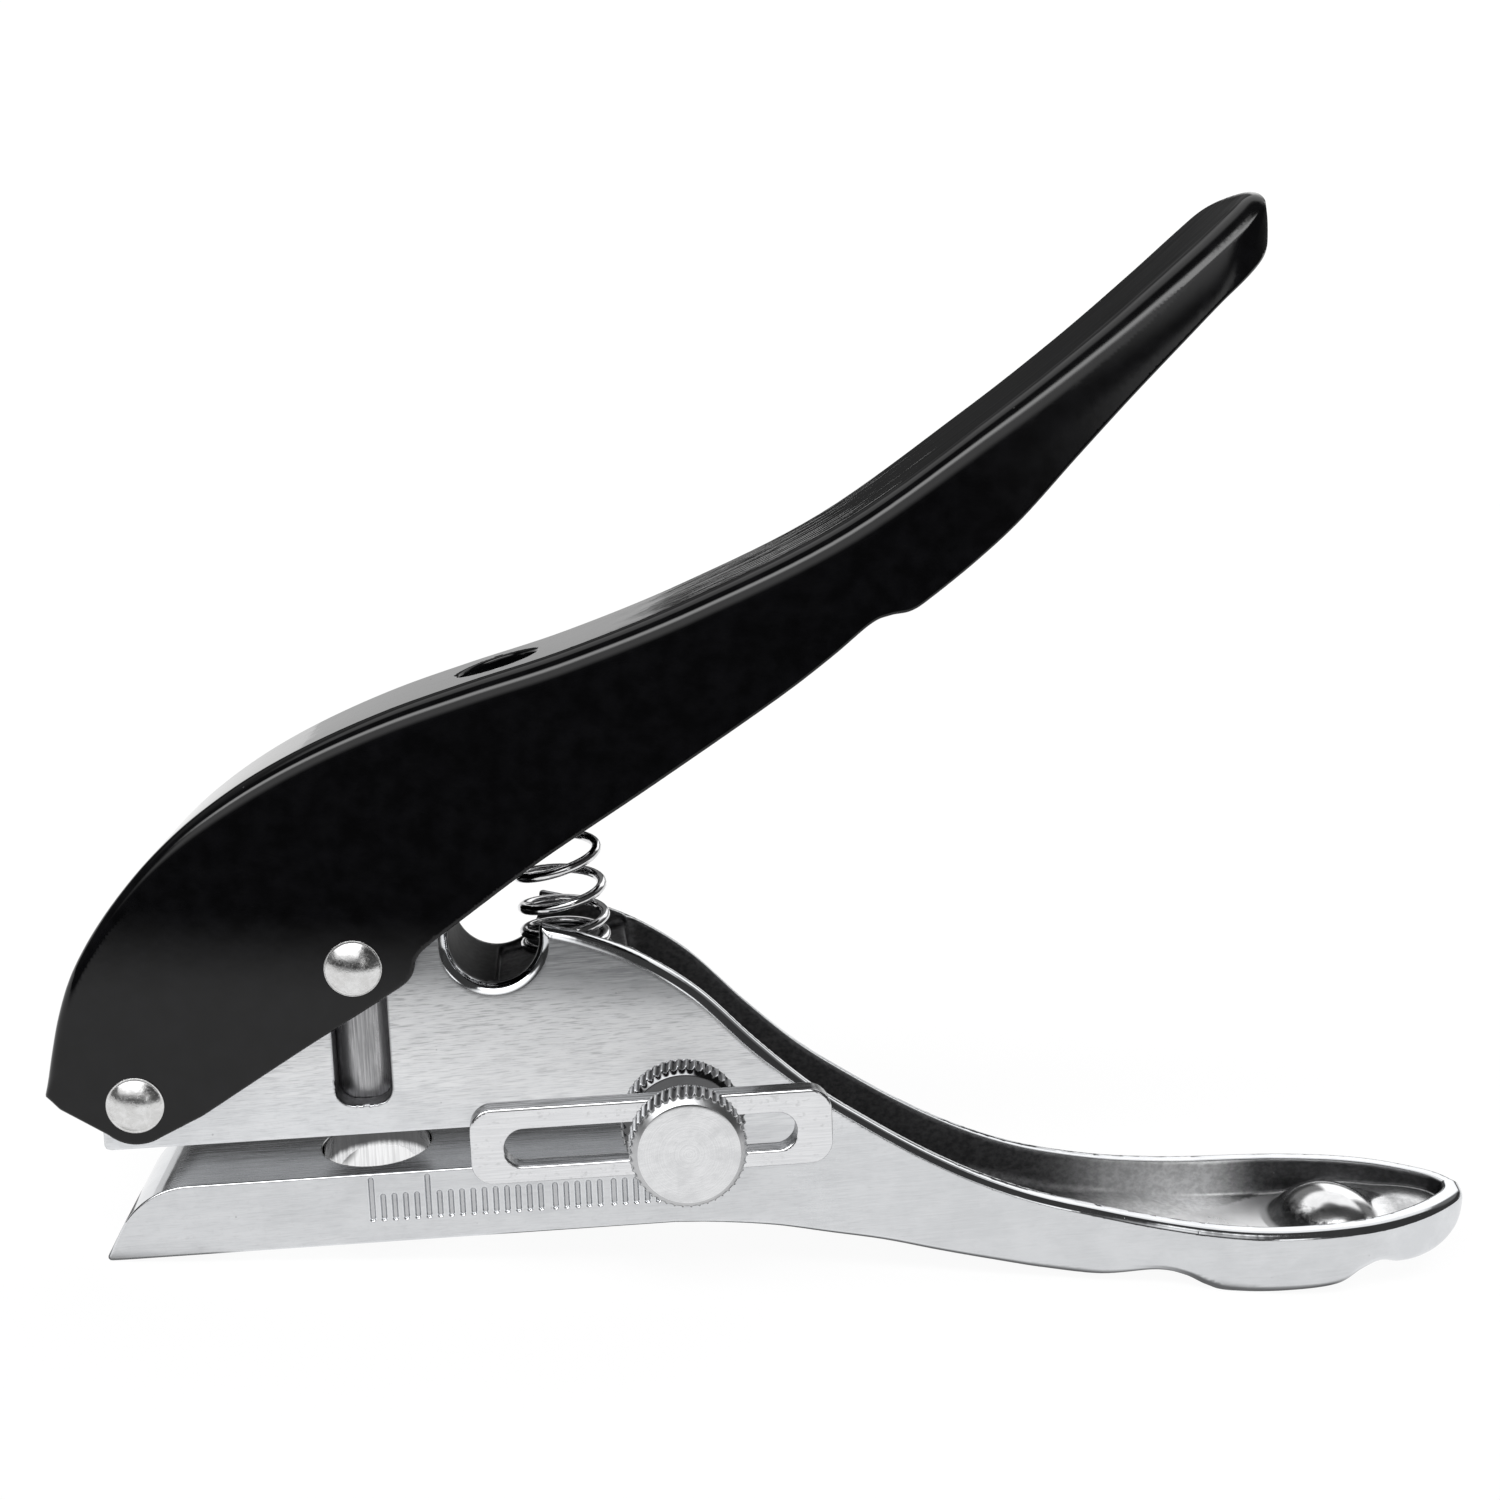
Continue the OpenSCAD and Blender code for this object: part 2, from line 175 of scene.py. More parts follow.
def skin(f, xs, ys, zs, rounds=3, relax=2, cuts=()):
    """Closed faces on f = 0, settled onto it, and the surface's own normals.

    cuts is a list of (degrees, zone): quads that turn by more, or lie in the zone, are split in four."""
    v = grid_values(f, xs, ys, zs)
    s = v < 0
    count = np.zeros(tuple(n - 1 for n in v.shape), np.uint8)
    for a in (0, 1):
        for b in (0, 1):
            for c in (0, 1):
                count += s[a : a + count.shape[0], b : b + count.shape[1], c : c + count.shape[2]]
    live = (count > 0) & (count < 8)
    cells = np.argwhere(live)
    number = np.full(live.shape, -1, np.int64)
    number[live] = np.arange(len(cells))
    i, j, k = cells.T
    total, hits = np.zeros((len(cells), 3)), np.zeros(len(cells))
    corners = [(a, b, c) for a in (0, 1) for b in (0, 1) for c in (0, 1)]
    for p in corners:
        for axis in range(3):
            if p[axis]:
                continue
            q = tuple(1 if n == axis else p[n] for n in range(3))
            va, vb = v[i + p[0], j + p[1], k + p[2]].astype(float), v[i + q[0], j + q[1], k + q[2]].astype(float)
            cut = (va < 0) != (vb < 0)
            t = np.where(cut, va / np.where(cut, va - vb, 1), 0)
            at = np.array(p, float)[None, :] + t[:, None] * (np.array(q) - np.array(p))[None, :]
            total += np.where(cut[:, None], at, 0)
            hits += cut
    at = total / hits[:, None]
    pts = np.stack([xs[i] + at[:, 0] * (xs[i + 1] - xs[i]), ys[j] + at[:, 1] * (ys[j + 1] - ys[j]), zs[k] + at[:, 2] * (zs[k + 1] - zs[k])], -1)
    quads = []
    for axis in range(3):
        o1, o2 = (axis + 1) % 3, (axis + 2) % 3
        lo, hi = [slice(1, -1)] * 3, [slice(1, -1)] * 3
        lo[axis], hi[axis] = slice(0, -1), slice(1, None)
        a, b = s[tuple(lo)], s[tuple(hi)]
        at = np.argwhere(a != b)
        out = a[tuple(at.T)]
        base = at.copy()
        base[:, o1] += 1
        base[:, o2] += 1

        def cell(d1, d2):
            c = base.copy()
            c[:, o1] += d1
            c[:, o2] += d2
            return number[tuple(c.T)]

        ring = np.stack([cell(-1, -1), cell(0, -1), cell(0, 0), cell(-1, 0)], -1)
        ring[~out] = ring[~out][:, ::-1]
        quads.append(ring)
    quads = np.concatenate(quads)
    h = min(np.diff(xs).max(), np.diff(ys).max(), np.diff(zs).max())

    def value(p):
        return f(p[:, 0], p[:, 1], p[:, 2])

    def slope(p, e=0.006):
        g = np.empty_like(p)
        for n in range(3):
            d = np.zeros(3)
            d[n] = e
            g[:, n] = (value(p + d) - value(p - d)) / (2 * e)
        return g

    def settle(p):
        g = slope(p)
        n2 = np.maximum((g * g).sum(1), 0.25)
        return p - np.clip(value(p) / n2, -0.5 * h, 0.5 * h)[:, None] * g

    ends = np.concatenate([quads[:, [n, (n + 1) % 4]] for n in range(4)])
    near = np.bincount(ends.ravel(), minlength=len(pts)).astype(float)
    for n in range(rounds):
        pts = settle(pts)
        if n < relax:
            mean = np.stack([np.bincount(ends[:, 0], pts[ends[:, 1], m], len(pts)) + np.bincount(ends[:, 1], pts[ends[:, 0], m], len(pts)) for m in range(3)], -1)
            move = mean / near[:, None] - pts
            g = slope(pts)
            g /= np.maximum(np.linalg.norm(g, axis=1), 1e-9)[:, None]
            move -= (move * g).sum(1)[:, None] * g
            pts = settle(pts + 0.45 * move)

    def facing(p):
        g = slope(p)
        return g / np.maximum(np.linalg.norm(g, axis=1), 1e-9)[:, None]

    nor = facing(pts)
    kept, halves, big = [], {}, 1 << 24
    for turn, zone in cuts:
        n = nor[quads]
        pairs = ((0, 1), (1, 2), (2, 3), (3, 0), (0, 2), (1, 3))
        split = np.min([(n[:, a] * n[:, b]).sum(1) for a, b in pairs], axis=0) < math.cos(math.radians(turn))
        if zone is not None:
            split |= zone(*pts[quads].mean(1).T)
        kept.append(quads[~split])
        quads = quads[split]
        ends = np.sort(np.concatenate([quads[:, [q, (q + 1) % 4]] for q in range(4)]), 1)
        key, back = np.unique(ends[:, 0] * big + ends[:, 1], return_inverse=True)
        new = np.concatenate([0.5 * (pts[key // big] + pts[key % big]), pts[quads].mean(1)])
        for n in range(3):
            new = settle(new)
        at = len(pts)
        halves.update(zip(key.tolist(), range(at, at + len(key))))
        e = at + back.reshape(4, -1).T
        c = at + len(key) + np.arange(len(quads))
        q = quads.T
        quads = np.concatenate([np.stack(four, -1) for four in ((q[0], e[:, 0], c, e[:, 3]), (e[:, 0], q[1], e[:, 1], c), (c, e[:, 1], q[2], e[:, 2]), (e[:, 3], c, e[:, 2], q[3]))])
        pts, nor = np.concatenate([pts, new]), np.concatenate([nor, facing(new)])
    if not cuts:
        return pts, quads, nor

    def along(a, b):
        m = halves.get(min(a, b) * big + max(a, b))
        return [a] if m is None else along(a, m) + along(m, b)

    # a face beside split ones takes in the points on its edges
    faces = []
    for four in kept + [quads]:
        for a, b, c, d in four.tolist():
            faces.append(along(a, b) + along(b, c) + along(c, d) + along(d, a))
    return pts, faces, nor


def solid(name, pts, faces, normals=None):
    """A smooth mesh in the row frame from level millimetres. faces is an array of quads or a list of lists."""
    me = bpy.data.meshes.new(name)
    pts = stood(pts)
    if isinstance(faces, np.ndarray):
        me.vertices.add(len(pts))
        me.vertices.foreach_set("co", pts.astype(np.float32).ravel())
        me.loops.add(faces.size)
        me.loops.foreach_set("vertex_index", faces.astype(np.int32).ravel())
        me.polygons.add(len(faces))
        me.polygons.foreach_set("loop_start", (np.arange(len(faces)) * faces.shape[1]).astype(np.int32))
        me.update(calc_edges=True)
    else:
        me.from_pydata([tuple(p) for p in pts], [], faces)
        me.update()
    me.validate()
    me.polygons.foreach_set("use_smooth", np.ones(len(me.polygons), bool))
    if normals is not None:
        me.normals_split_custom_set_from_vertices([tuple(n) for n in turned(normals)])
    ob = bpy.data.objects.new(name, me)
    bpy.context.scene.collection.objects.link(ob)
    return ob


def lathe(rows, n, centre, teeth=0, depth=0.0, twist=0.0, ring=False):
    """Turned body about an axis along y at centre = (x, z). rows are (radius, y, tooth weight)."""
    pts, start, faces = [], [], []
    a = np.arange(n) * 2 * math.pi / n
    span = max(r[1] for r in rows) - min(r[1] for r in rows)
    for r, y, k in rows:
        start.append((len(pts), r > 0))
        if r <= 0:
            pts.append((centre[0], y, centre[1]))
            continue
        rr = np.full(n, float(r))
        if k > 0:
            t = (a * teeth / (2 * math.pi) + twist * (y - rows[0][1]) / span) % 1.0
            crest = np.abs(t - 0.5) * 2
            rr = rr - k * depth * (1 - np.minimum(crest * 1.12, 1.0))
        pts += list(zip(centre[0] + rr * np.cos(a), np.full(n, y), centre[1] + rr * np.sin(a)))
    m = len(rows)
    for q in range(m if ring else m - 1):
        (s, full), (e, other) = start[q], start[(q + 1) % m]
        for c in range(n):
            d = (c + 1) % n
            if full and other:
                faces.append([s + c, e + c, e + d, s + d])
            elif full:
                faces.append([s + c, e, s + d])
            elif other:
                faces.append([s, e + c, e + d])
    return np.array(pts, float), faces


# ---------------------------------------------------------------------------
# Casting: jaw, head, throat, scale and hollow handle
# ---------------------------------------------------------------------------
HALF, WALL = 6.8, 1.8
rim = curve([[16.6, 21.6], [20, 20.6], [25, 18.4], [30, 14.9], [35, 9.8], [40, 5.2], [45, 1.6], [50, -1.6], [55, -4.3], [60, -6.4], [65, -7.9], [72, -9.5], [80, -10.6], [90, -10.9], [98, -10.9], [106, -11.2]], 8)
belly = curve([[106, -11.6], [103.6, -12.4], [102.6, -13.5], [101.5, -14.4], [99.5, -15.1], [96.5, -15.4], [94, -15.2], [92, -14.7], [90, -15.2], [87.5, -16.3], [82.5, -16.5], [77.5, -16.3], [75.5, -15.7], [73.5, -14.7], [71, -14.2], [66, -14.5], [61, -13.7], [56, -12.5], [51, -11.2], [46, -9.8], [41, -8.7], [36, -7.6], [31, -6.9], [27, -6.6]], 8)
nose = arc([-16, -7], 7, 152, 90, 24)
base_line = np.concatenate([
    eased([[0, -6.6], [-23.8, -6.6], nose[0]], 0.35),
    nose,
    arc([24, 1], 1, 270, 360, 8),
    arc([24, 2.7], 1, 0, 90, 8),
    eased([[0, 3.7], [-22.9, 3.7], [-22.9, 12]], 0.5),
    eased([[-22.9, 3.7], [-22.9, 12], [-13, 20.5]], 2.0),
    eased([[-22.9, 12], [-13, 20.5], [-9, 22.4]], 3.0),
    eased([[-13, 20.5], [-9, 22.4], [8.1, 22.4]], 3.0),
    eased([[-9, 22.4], [8.1, 22.4], [8.1, 20.6]], 0.9),
    arc([12.1, 20.6], 4, 180, 360, 40),
    eased([[16.1, 20.6], [16.1, 21.75], rim[2]], 0.35),
    rim[3:],
    belly,
])
half_line = curve([[58, 6.8], [64, 6.9], [70, 7.5], [76, 8.3], [82, 8.8], [88, 8.6], [93, 7.7], [97.2, 6.1], [100.5, 4.1], [102.6, 2.2], [103.5, 0]], 8)
plan_line = np.concatenate([[[-40, -6.8]], half_line[:-1] * [1, -1], [[103.5, 0]], half_line[:-1][::-1], [[-40, 6.8]]])
hollow_line = np.concatenate([curve([[24, 12], [27, 8.6], [31, 5], [36, 1], [41, -2.3], [46, -5], [51, -7.4], [56, -9.3], [61, -10.7], [66, -11.7], [72, -12.6], [78, -13.8], [84, -14.2], [89, -14], [93, -13], [98, -12.8], [101.6, -12.4]], 8), [[112, -11.0], [112, 40], [24, 40]]])
base_side = Field(base_line, (-30, 110), (-22, 30))
base_plan = Field(plan_line, (-30, 110), (-1, 14))
hollow_side = Field(hollow_line, (-30, 110), (-22, 30))
seat_side = Field([[12.1, 15.7], [24.1, 18.1], [24.1, 30], [12.1, 30]], (0, 40), (8, 30))
MARKS = [(k + (0.3 if k > 15 else 0) + (0.25 if k > 20 else 0), -0.6 if k in (0, 5) else -2.2) for k in range(26)]


def base_cave(x, y, z):
    ay = np.abs(y)
    # the hollow's walls lean in towards its floor, more so towards the handle's end
    lean = (0.1 + 0.14 * step01(60, 84, x)) * step01(42, 66, x) * np.maximum(np.interp(x, rim[:, 0], rim[:, 1]) - z, 0)
    cave = meet(hollow_side(x, z), base_plan(x, ay) + WALL + lean, 1.3 - 0.95 * step01(56, 74, x))
    seat = meet(seat_side(x, z), ay - (HALF - WALL), 0.6)
    return join(cave, seat, 0.4)


def base_marks(x, z):
    mark = np.full(np.broadcast(x, z).shape, 9.0)
    for mx, top in MARKS:
        mark = np.minimum(mark, np.hypot(x - mx, z - np.clip(z, -4.2, top)))
    return mark


def base_shape(x, y, z):
    ay = np.abs(y)
    side = base_side(x, z)
    plan = base_plan(x, ay)
    # the flat sides are very slightly crowned by the belt that finished them
    crown = 0.0009 * np.maximum(z - 4, 0) ** 2 * (1 - step01(20, 44, x)) + 0.0012 * np.maximum(-1 - z, 0) ** 2 * (1 - step01(28, 60, x))
    # soft round edge along the rim and the notch, a tight one on the jaw, a full one under the handle
    up = step01(-6, -3, z - np.interp(x, [-30, 27, 40, 60, 80, 110], [0, 0, -3.5, -8, -11, -11]))
    edge_top = np.minimum(0.17 + 0.63 * step01(4.5, 8, z) * step01(5, 7, x) + 0.63 * step01(25.5, 27, x), 0.8)
    edge_top = edge_top + 0.32 * np.maximum((1 - step01(1.6, 3.2, np.hypot(x - 12.1, z - 20.6) - 4.0)) * step01(6, 8, x), step01(15, 17, x) * (1 - step01(32, 48, x)) * step01(5, 9, z))
    edge_low = 0.3 + 0.4 * step01(27, 62, x)
    r = edge_low + (edge_top - edge_low) * up
    body = meet(side, plan + crown, r)
    body = meet(body, -base_cave(x, y, z), 0.28 + 0.14 * step01(26, 34, x))
    # bosses on the hollow's floor
    b1 = np.sqrt((x - 90.5) ** 2 + y * y + (z + 16.8) ** 2) - 6.0
    b2 = np.sqrt((x - 97.8) ** 2 + y * y + (z + 17.9) ** 2) - 5.6
    boss = np.maximum(np.maximum(join(b1, b2, 1.5), -14.6 - z), plan + 0.9)
    body = join(body, boss, 0.8)
    # peg in the spring
    lean = math.radians(11.2)
    px, pz = x - 19.2, z - 16.6
    along, across = -px * math.sin(lean) + pz * math.cos(lean), px * math.cos(lean) + pz * math.sin(lean)
    peg = meet(np.hypot(across, y) - 2.8, np.abs(along - 0.2) - 2.0, 0.4)
    body = join(body, peg, 0.2)
    # die hole and guide bore
    body = meet(body, 5.0 - np.hypot(x, y), 0.14)
    # upright slot of the drive pin
    qx, qz = np.abs(x) - 0.95, 8.0 - z
    slot = np.hypot(np.maximum(qx, 0), np.maximum(qz, 0)) + np.minimum(np.maximum(qx, qz), 0) - 1.5
    body = meet(body, -slot, 0.09)
    # open slot in which the pivot pin floats
    gap = np.where(x < -19.5, np.abs(z - 8.4), np.hypot(x + 19.5, z - 8.4)) - 2.3
    body = meet(body, -gap, 0.25)
    stud = np.maximum(np.hypot(x - 27.9, z - 3.65) - 1.5, y - 1.9)
    body = np.maximum(body, -stud)
    # scale marks, sunk into the near side
    cut = np.maximum(0.82 * (base_marks(x, z) - 0.3 + 0.7 * (y + 6.8)), y + 6.58)
    return meet(body, -cut, 0.06)


# ---------------------------------------------------------------------------
# Lever: a pressed channel, open below, closed round its tip
# ---------------------------------------------------------------------------
web = curve([[-27.2, 9.6], [-26.4, 13.2], [-25.5, 16.6], [-24.2, 20], [-22.2, 23.4], [-19.6, 26.8], [-16.5, 30.1], [-12.8, 33.2], [-8, 36.3], [-2.5, 39], [4, 41.5], [11, 43.6], [20, 46.1], [31, 50], [44, 55.8], [57, 64.3], [65.6, 70.5], [72.4, 75.9], [77, 79.75], [79.6, 81.95], [80.9, 82.35], [81.75, 81.5], [81.95, 79.9]], 8)
skirt = np.concatenate([curve([[81.5, 78.3], [80.3, 76.8], [78.2, 74.9], [76, 73], [73, 70.1], [68.2, 65.4], [63.5, 60.6], [58.8, 55.7], [55, 52.4], [51, 49.4], [49.2, 48.3], [47.4, 48], [45.6, 47.3], [42, 44.5], [37, 41], [26.4, 34.3], [16.6, 28.3], [10, 23.8], [6.3, 21.2], [5.2, 20], [4.6, 18.4], [2.6, 17], [-5, 12.6], [-14, 7.2]], 8), arc([-19.5, 8.4], 3.4, 300, 225, 12), [[-25.8, 8.6], [-26.4, 9.3]]])
tip = curve([[74, 8.3], [77.4, 8.2], [79.8, 7.5], [81.5, 5.9], [82.6, 3.3], [83.1, 0]], 8)
tip_line = np.concatenate([[[-60, -8.3]], tip[:-1] * [1, -1], tip[::-1], [[-60, 8.3]]])
low_line = skirt.copy()
across = np.gradient(low_line, axis=0)
across /= np.linalg.norm(across, axis=1)[:, None]
low_line += 0.3 * np.stack([-across[:, 1], across[:, 0]], -1)  # the eased edge hides this much
skirt = low_line
lever_side = Field(np.concatenate([web, skirt]), (-34, 92), (-2, 92))
lever_web = Field(np.concatenate([web, [[82.5, -40], [-27.2, -40]]]), (-34, 92), (-2, 92))
lever_low = Field(np.concatenate([skirt, [[-60, 9.6], [-60, 160], [140, 160], [140, 78]]]), (-34, 92), (-2, 92))
lever_plan = Field(tip_line, (-34, 92), (-1, 14))
SHEET = 1.2


def lever_shape(x, y, z):
    ay = np.abs(y)
    side, top, low, plan = lever_side(x, z), lever_web(x, z), lever_low(x, z), lever_plan(x, ay)
    bend_r = 1.0 + 1.1 * step01(-24, -6, x)
    # towards the tip the walls lean in under the bend
    plan = plan + 0.045 * step01(50, 78, x) * np.maximum(4.6 + top, 0) ** 2
    r = 0.34 + (bend_r - 0.34) * step01(-1.0, 2.2, top - low)
    body = meet(side, plan, r)
    inside = meet(top + SHEET, plan + SHEET, np.maximum(bend_r - 1.2, 0.3))
    body = meet(body, -inside, 0.22)
    lean = math.radians(15.6)
    px, pz = x - 13.55, z - 44.3
    hole = np.hypot(px * math.cos(lean) + pz * math.sin(lean), y) - 3.65
    body = meet(body, -hole, 0.35)
    for cx, cz in ((0, 19.5), (-19.5, 8.4)):
        body = np.maximum(body, 1.5 - np.hypot(x - cx, z - cz))
    return body


# ---------------------------------------------------------------------------
# Stop plate and punch
# ---------------------------------------------------------------------------
def plate_shape(x, y, z):
    def block(cx, hx, cz, hz, r):
        qx, qz = np.abs(x - cx) - hx + r, np.abs(z - cz) - hz + r
        return np.hypot(np.maximum(qx, 0), np.maximum(qz, 0)) + np.minimum(np.maximum(qx, qz), 0) - r

    outer = block(25.0, 15.7, 3.9, 3.4, 2.0)
    slot = block(24.9, 12.7, 3.65, 1.7, 1.699)
    flat = np.maximum(outer, -slot)
    return meet(flat, np.abs(y + 10.8) - 0.9, 0.2)


def punch_shape(x, y, z):
    body = meet(np.hypot(x, y) - 4.95, z - 24.0, 0.5)
    body = np.maximum(body, 19.5 - np.hypot(x, z + 14.6))
    return meet(body, 2.35 - np.hypot(x, z - 19.5), 0.1)


def scale_zone(x, y, z):
    return (y < -6.3) & (x > -0.7) & (x < 26.3) & (z > -4.8) & (z < 0.1)


def scale_edge(x, y, z):
    jaw = (np.abs(y) > 6.35) & (z < 0.2) & (x < 26.5) & (base_side(x, z) > -0.32)
    return jaw | scale_zone(x, y, z) & (np.abs(base_marks(x, z) - 0.22) < 0.2)


fine = 0.56
ticks = np.unique(np.round([mx + d for mx, _ in MARKS for d in (-1 / 6, 1 / 6, 0.5)], 4))
pts, quads, nor = skin(
    base_shape,
    np.concatenate([lines((-25, ticks[0], fine)), ticks[1:], lines((ticks[-1], 105, fine))[1:]]),
    lines((-9.6, -7.1, fine), (-7.1, -6.4, 0.7), (-6.4, 6.4, 0.53), (6.4, 7.1, 0.7), (7.1, 9.6, fine)),
    lines((-18, -4.9, fine), (-4.9, 0.3, 0.4), (0.3, 24, fine)),
    cuts=((9, scale_zone), (22, scale_zone), (180, scale_edge)),
)
base = solid("base_frame_casting", pts, quads, nor)
cave = base_cave(*pts.T)
bite = np.hypot(pts[:, 0] - 12.1, pts[:, 2] - 20.6) - 4.0
hollow = 1 - step01(0.04, 0.3, cave)
bitten = (1 - step01(0.12, 0.4, bite)) * (1 - step01(5.5, 5.85, np.abs(pts[:, 1])))
hole = 1 - step01(0.03, 0.15, np.hypot(pts[:, 0], pts[:, 1]) - 5.0)
die = hole * (pts[:, 2] < 0.6)
slot_x, slot_z = np.abs(pts[:, 0]) - 0.95, 8.0 - pts[:, 2]
slotted = 1 - step01(0.06, 0.2, np.hypot(np.maximum(slot_x, 0), np.maximum(slot_z, 0)) - 1.5)
bored = np.maximum(hole * (pts[:, 2] >= 0.6), slotted)
sunk = (1 - step01(0.2, 0.34, base_marks(pts[:, 0], pts[:, 2]))) * (pts[:, 1] < -6.4) * step01(-6.8, -6.62, pts[:, 1])
for label, value in (("hollow", hollow), ("bitten", bitten), ("die", die), ("sunk", sunk), ("bored", bored)):
    base.data.attributes.new(label, "FLOAT", "POINT").data.foreach_set("value", value.astype(np.float32))
pts, quads, nor = skin(lever_shape, lines((-28.5, 84, fine)), lines((-9.3, 9.3, fine)), lines((3.5, 83.2, fine)), cuts=((9, None), (20, None)))
lever = solid("lever_shell_pressing", pts, quads, nor)
pts, quads, nor = skin(plate_shape, lines((8.8, 41.2, 0.19)), lines((-12.2, -9.4, 0.14)), lines((0, 7.8, 0.17)))
plate = solid("stop_plate_sheet", pts, quads, nor)
pts, quads, nor = skin(punch_shape, lines((-5.4, 5.4, 0.25)), lines((-5.4, 5.4, 0.25)), lines((3.4, 24.5, 0.25)))
punch = solid("punch_bar", pts, quads, nor)


# ---------------------------------------------------------------------------
# Turned pieces
# ---------------------------------------------------------------------------
STUD = (27.9, 3.65)


def bend(r0, y0, r1, y1, r2, y2, rad, n=4):
    return [(p[0], p[1], 0) for p in eased([[r0, y0], [r1, y1], [r2, y2]], rad, n)]


def knurl_rows(r, y0, y1, n=7):
    return [(r, y, 1) for y in np.linspace(y0, y1, n)]


# knob: blind hole behind, knurled edge, chamfer and bare face in front
rows = [(0, -14.2, 0), (1.3, -14.2, 0), (1.5, -14.15, 0), (1.55, -14.0, 0), (1.55, -12.1, 0), (1.6, -11.85, 0), (1.75, -11.8, 0), (4.2, -11.8, 0)]
rows += bend(4.2, -11.8, 4.62, -11.8, 4.95, -12.15, 0.12)
rows += [(4.98, -12.2, 0)] + knurl_rows(5.1, -12.32, -14.38) + [(4.97, -14.5, 0.25), (4.9, -14.58, 0)]
rows += [(4.72, -14.76, 0)]
rows += bend(4.72, -14.76, 4.42, -15.06, 4.2, -15.08, 0.12)
rows += [(4.2, -15.083, 0), (4.0, -15.09, 0), (2.5, -15.098, 0), (1.2, -15.1, 0), (0, -15.1, 0)]
pts, faces = lathe(rows, 44 * 12, STUD, teeth=44, depth=0.42, twist=0.5)
knob = solid("thumb_knob_turned", pts, faces)

# nut: the same knurl, bored right through
rows = [(1.55, -9.7, 0), (1.55, -7.0, 0), (1.65, -6.9, 0), (1.9, -6.9, 0), (4.6, -6.9, 0)]
rows += bend(4.6, -6.9, 5.0, -6.9, 5.36, -7.25, 0.12)
rows += [(5.39, -7.3, 0)] + knurl_rows(5.5, -7.42, -9.22) + [(5.36, -9.36, 0.25), (5.28, -9.44, 0)]
rows += bend(5.28, -9.44, 4.9, -9.8, 4.5, -9.8, 0.15)
rows += [(4.5, -9.8, 0), (1.9, -9.8, 0), (1.65, -9.8, 0)]
pts, faces = lathe(rows, 46 * 12, STUD, teeth=46, depth=0.42, twist=0.5, ring=True)
nut = solid("backing_nut_turned", pts, faces)


def rivet(name, centre):
    # domed heads on both walls, a soft edge, and the shank between them
    s = (2.5**2 + 0.9**2) / 1.8
    rows = [(0, -8.3 - 0.9, 0)]
    for q in np.linspace(0.06, 1, 12):
        a = q * math.asin(2.42 / s)
        rows.append((s * math.sin(a), -8.3 - 0.9 + s * (1 - math.cos(a)), 0))
    rows += [(2.475, -8.42, 0), (2.5, -8.35, 0), (2.49, -8.305, 0), (2.45, -8.3, 0), (1.6, -8.3, 0), (1.5, -8.25, 0), (1.5, -8.0, 0)]
    rows = rows + [(r, -y, 0) for r, y, _ in reversed(rows)]
    pts, faces = lathe(rows, 72, centre)
    return solid(name, pts, [f[::-1] for f in faces])


drive_rivet = rivet("drive_rivet_domed", (0, 19.5))
pivot_rivet = rivet("pivot_rivet_domed", (-19.5, 8.4))


def spring():
    # the coil leans with the lever, and its pitch opens up from the closed foot
    turns = np.array([0, 1, 2, 3, 4, 5, 6, 7, 8, 8.6])
    rises = np.array([0.46, 1.4, 3.25, 6.1, 9.4, 13.1, 16.9, 20.7, 24.0, 25.0])
    knots = np.stack([turns, rises], -1)
    steps = curve(knots, 40)
    t, up = steps[:, 0], steps[:, 1]
    s = up / 25.4
    # axis from the foot to the lever, starting more upright than it ends
    ax = 18.45 + 0.15 * s - 4.3 * s * s
    az = 17.35 + 25.0 * s
    dx, dz = np.gradient(ax), np.gradient(az)
    ln = np.hypot(dx, dz)
    dx, dz = dx / ln, dz / ln
    a = 2 * math.pi * t
    mean = 4.1 - 0.375
    out = np.stack([np.cos(a) * dz, np.sin(a), -np.cos(a) * dx], -1)
    mid = np.stack([ax, np.zeros_like(ax), az], -1) + mean * out
    tan = np.gradient(mid, axis=0)
    tan /= np.linalg.norm(tan, axis=1)[:, None]
    out -= (out * tan).sum(1)[:, None] * tan
    out /= np.linalg.norm(out, axis=1)[:, None]
    side = np.cross(tan, out)
    m = 14
    b = np.arange(m) * 2 * math.pi / m
    ring = mid[:, None, :] + 0.445 * (np.cos(b)[None, :, None] * out[:, None, :] + np.sin(b)[None, :, None] * side[:, None, :])
    pts = ring.reshape(-1, 3)
    n = len(mid)
    faces = [[q * m + c, q * m + (c + 1) % m, (q + 1) * m + (c + 1) % m, (q + 1) * m + c] for q in range(n - 1) for c in range(m)]
    faces += [list(range(m - 1, -1, -1)), [(n - 1) * m + c for c in range(m)]]
    return solid("return_spring_coil", pts, faces)


coil = spring()

# ---------------------------------------------------------------------------
# Materials. Patterns are laid out in level millimetres.
# ---------------------------------------------------------------------------


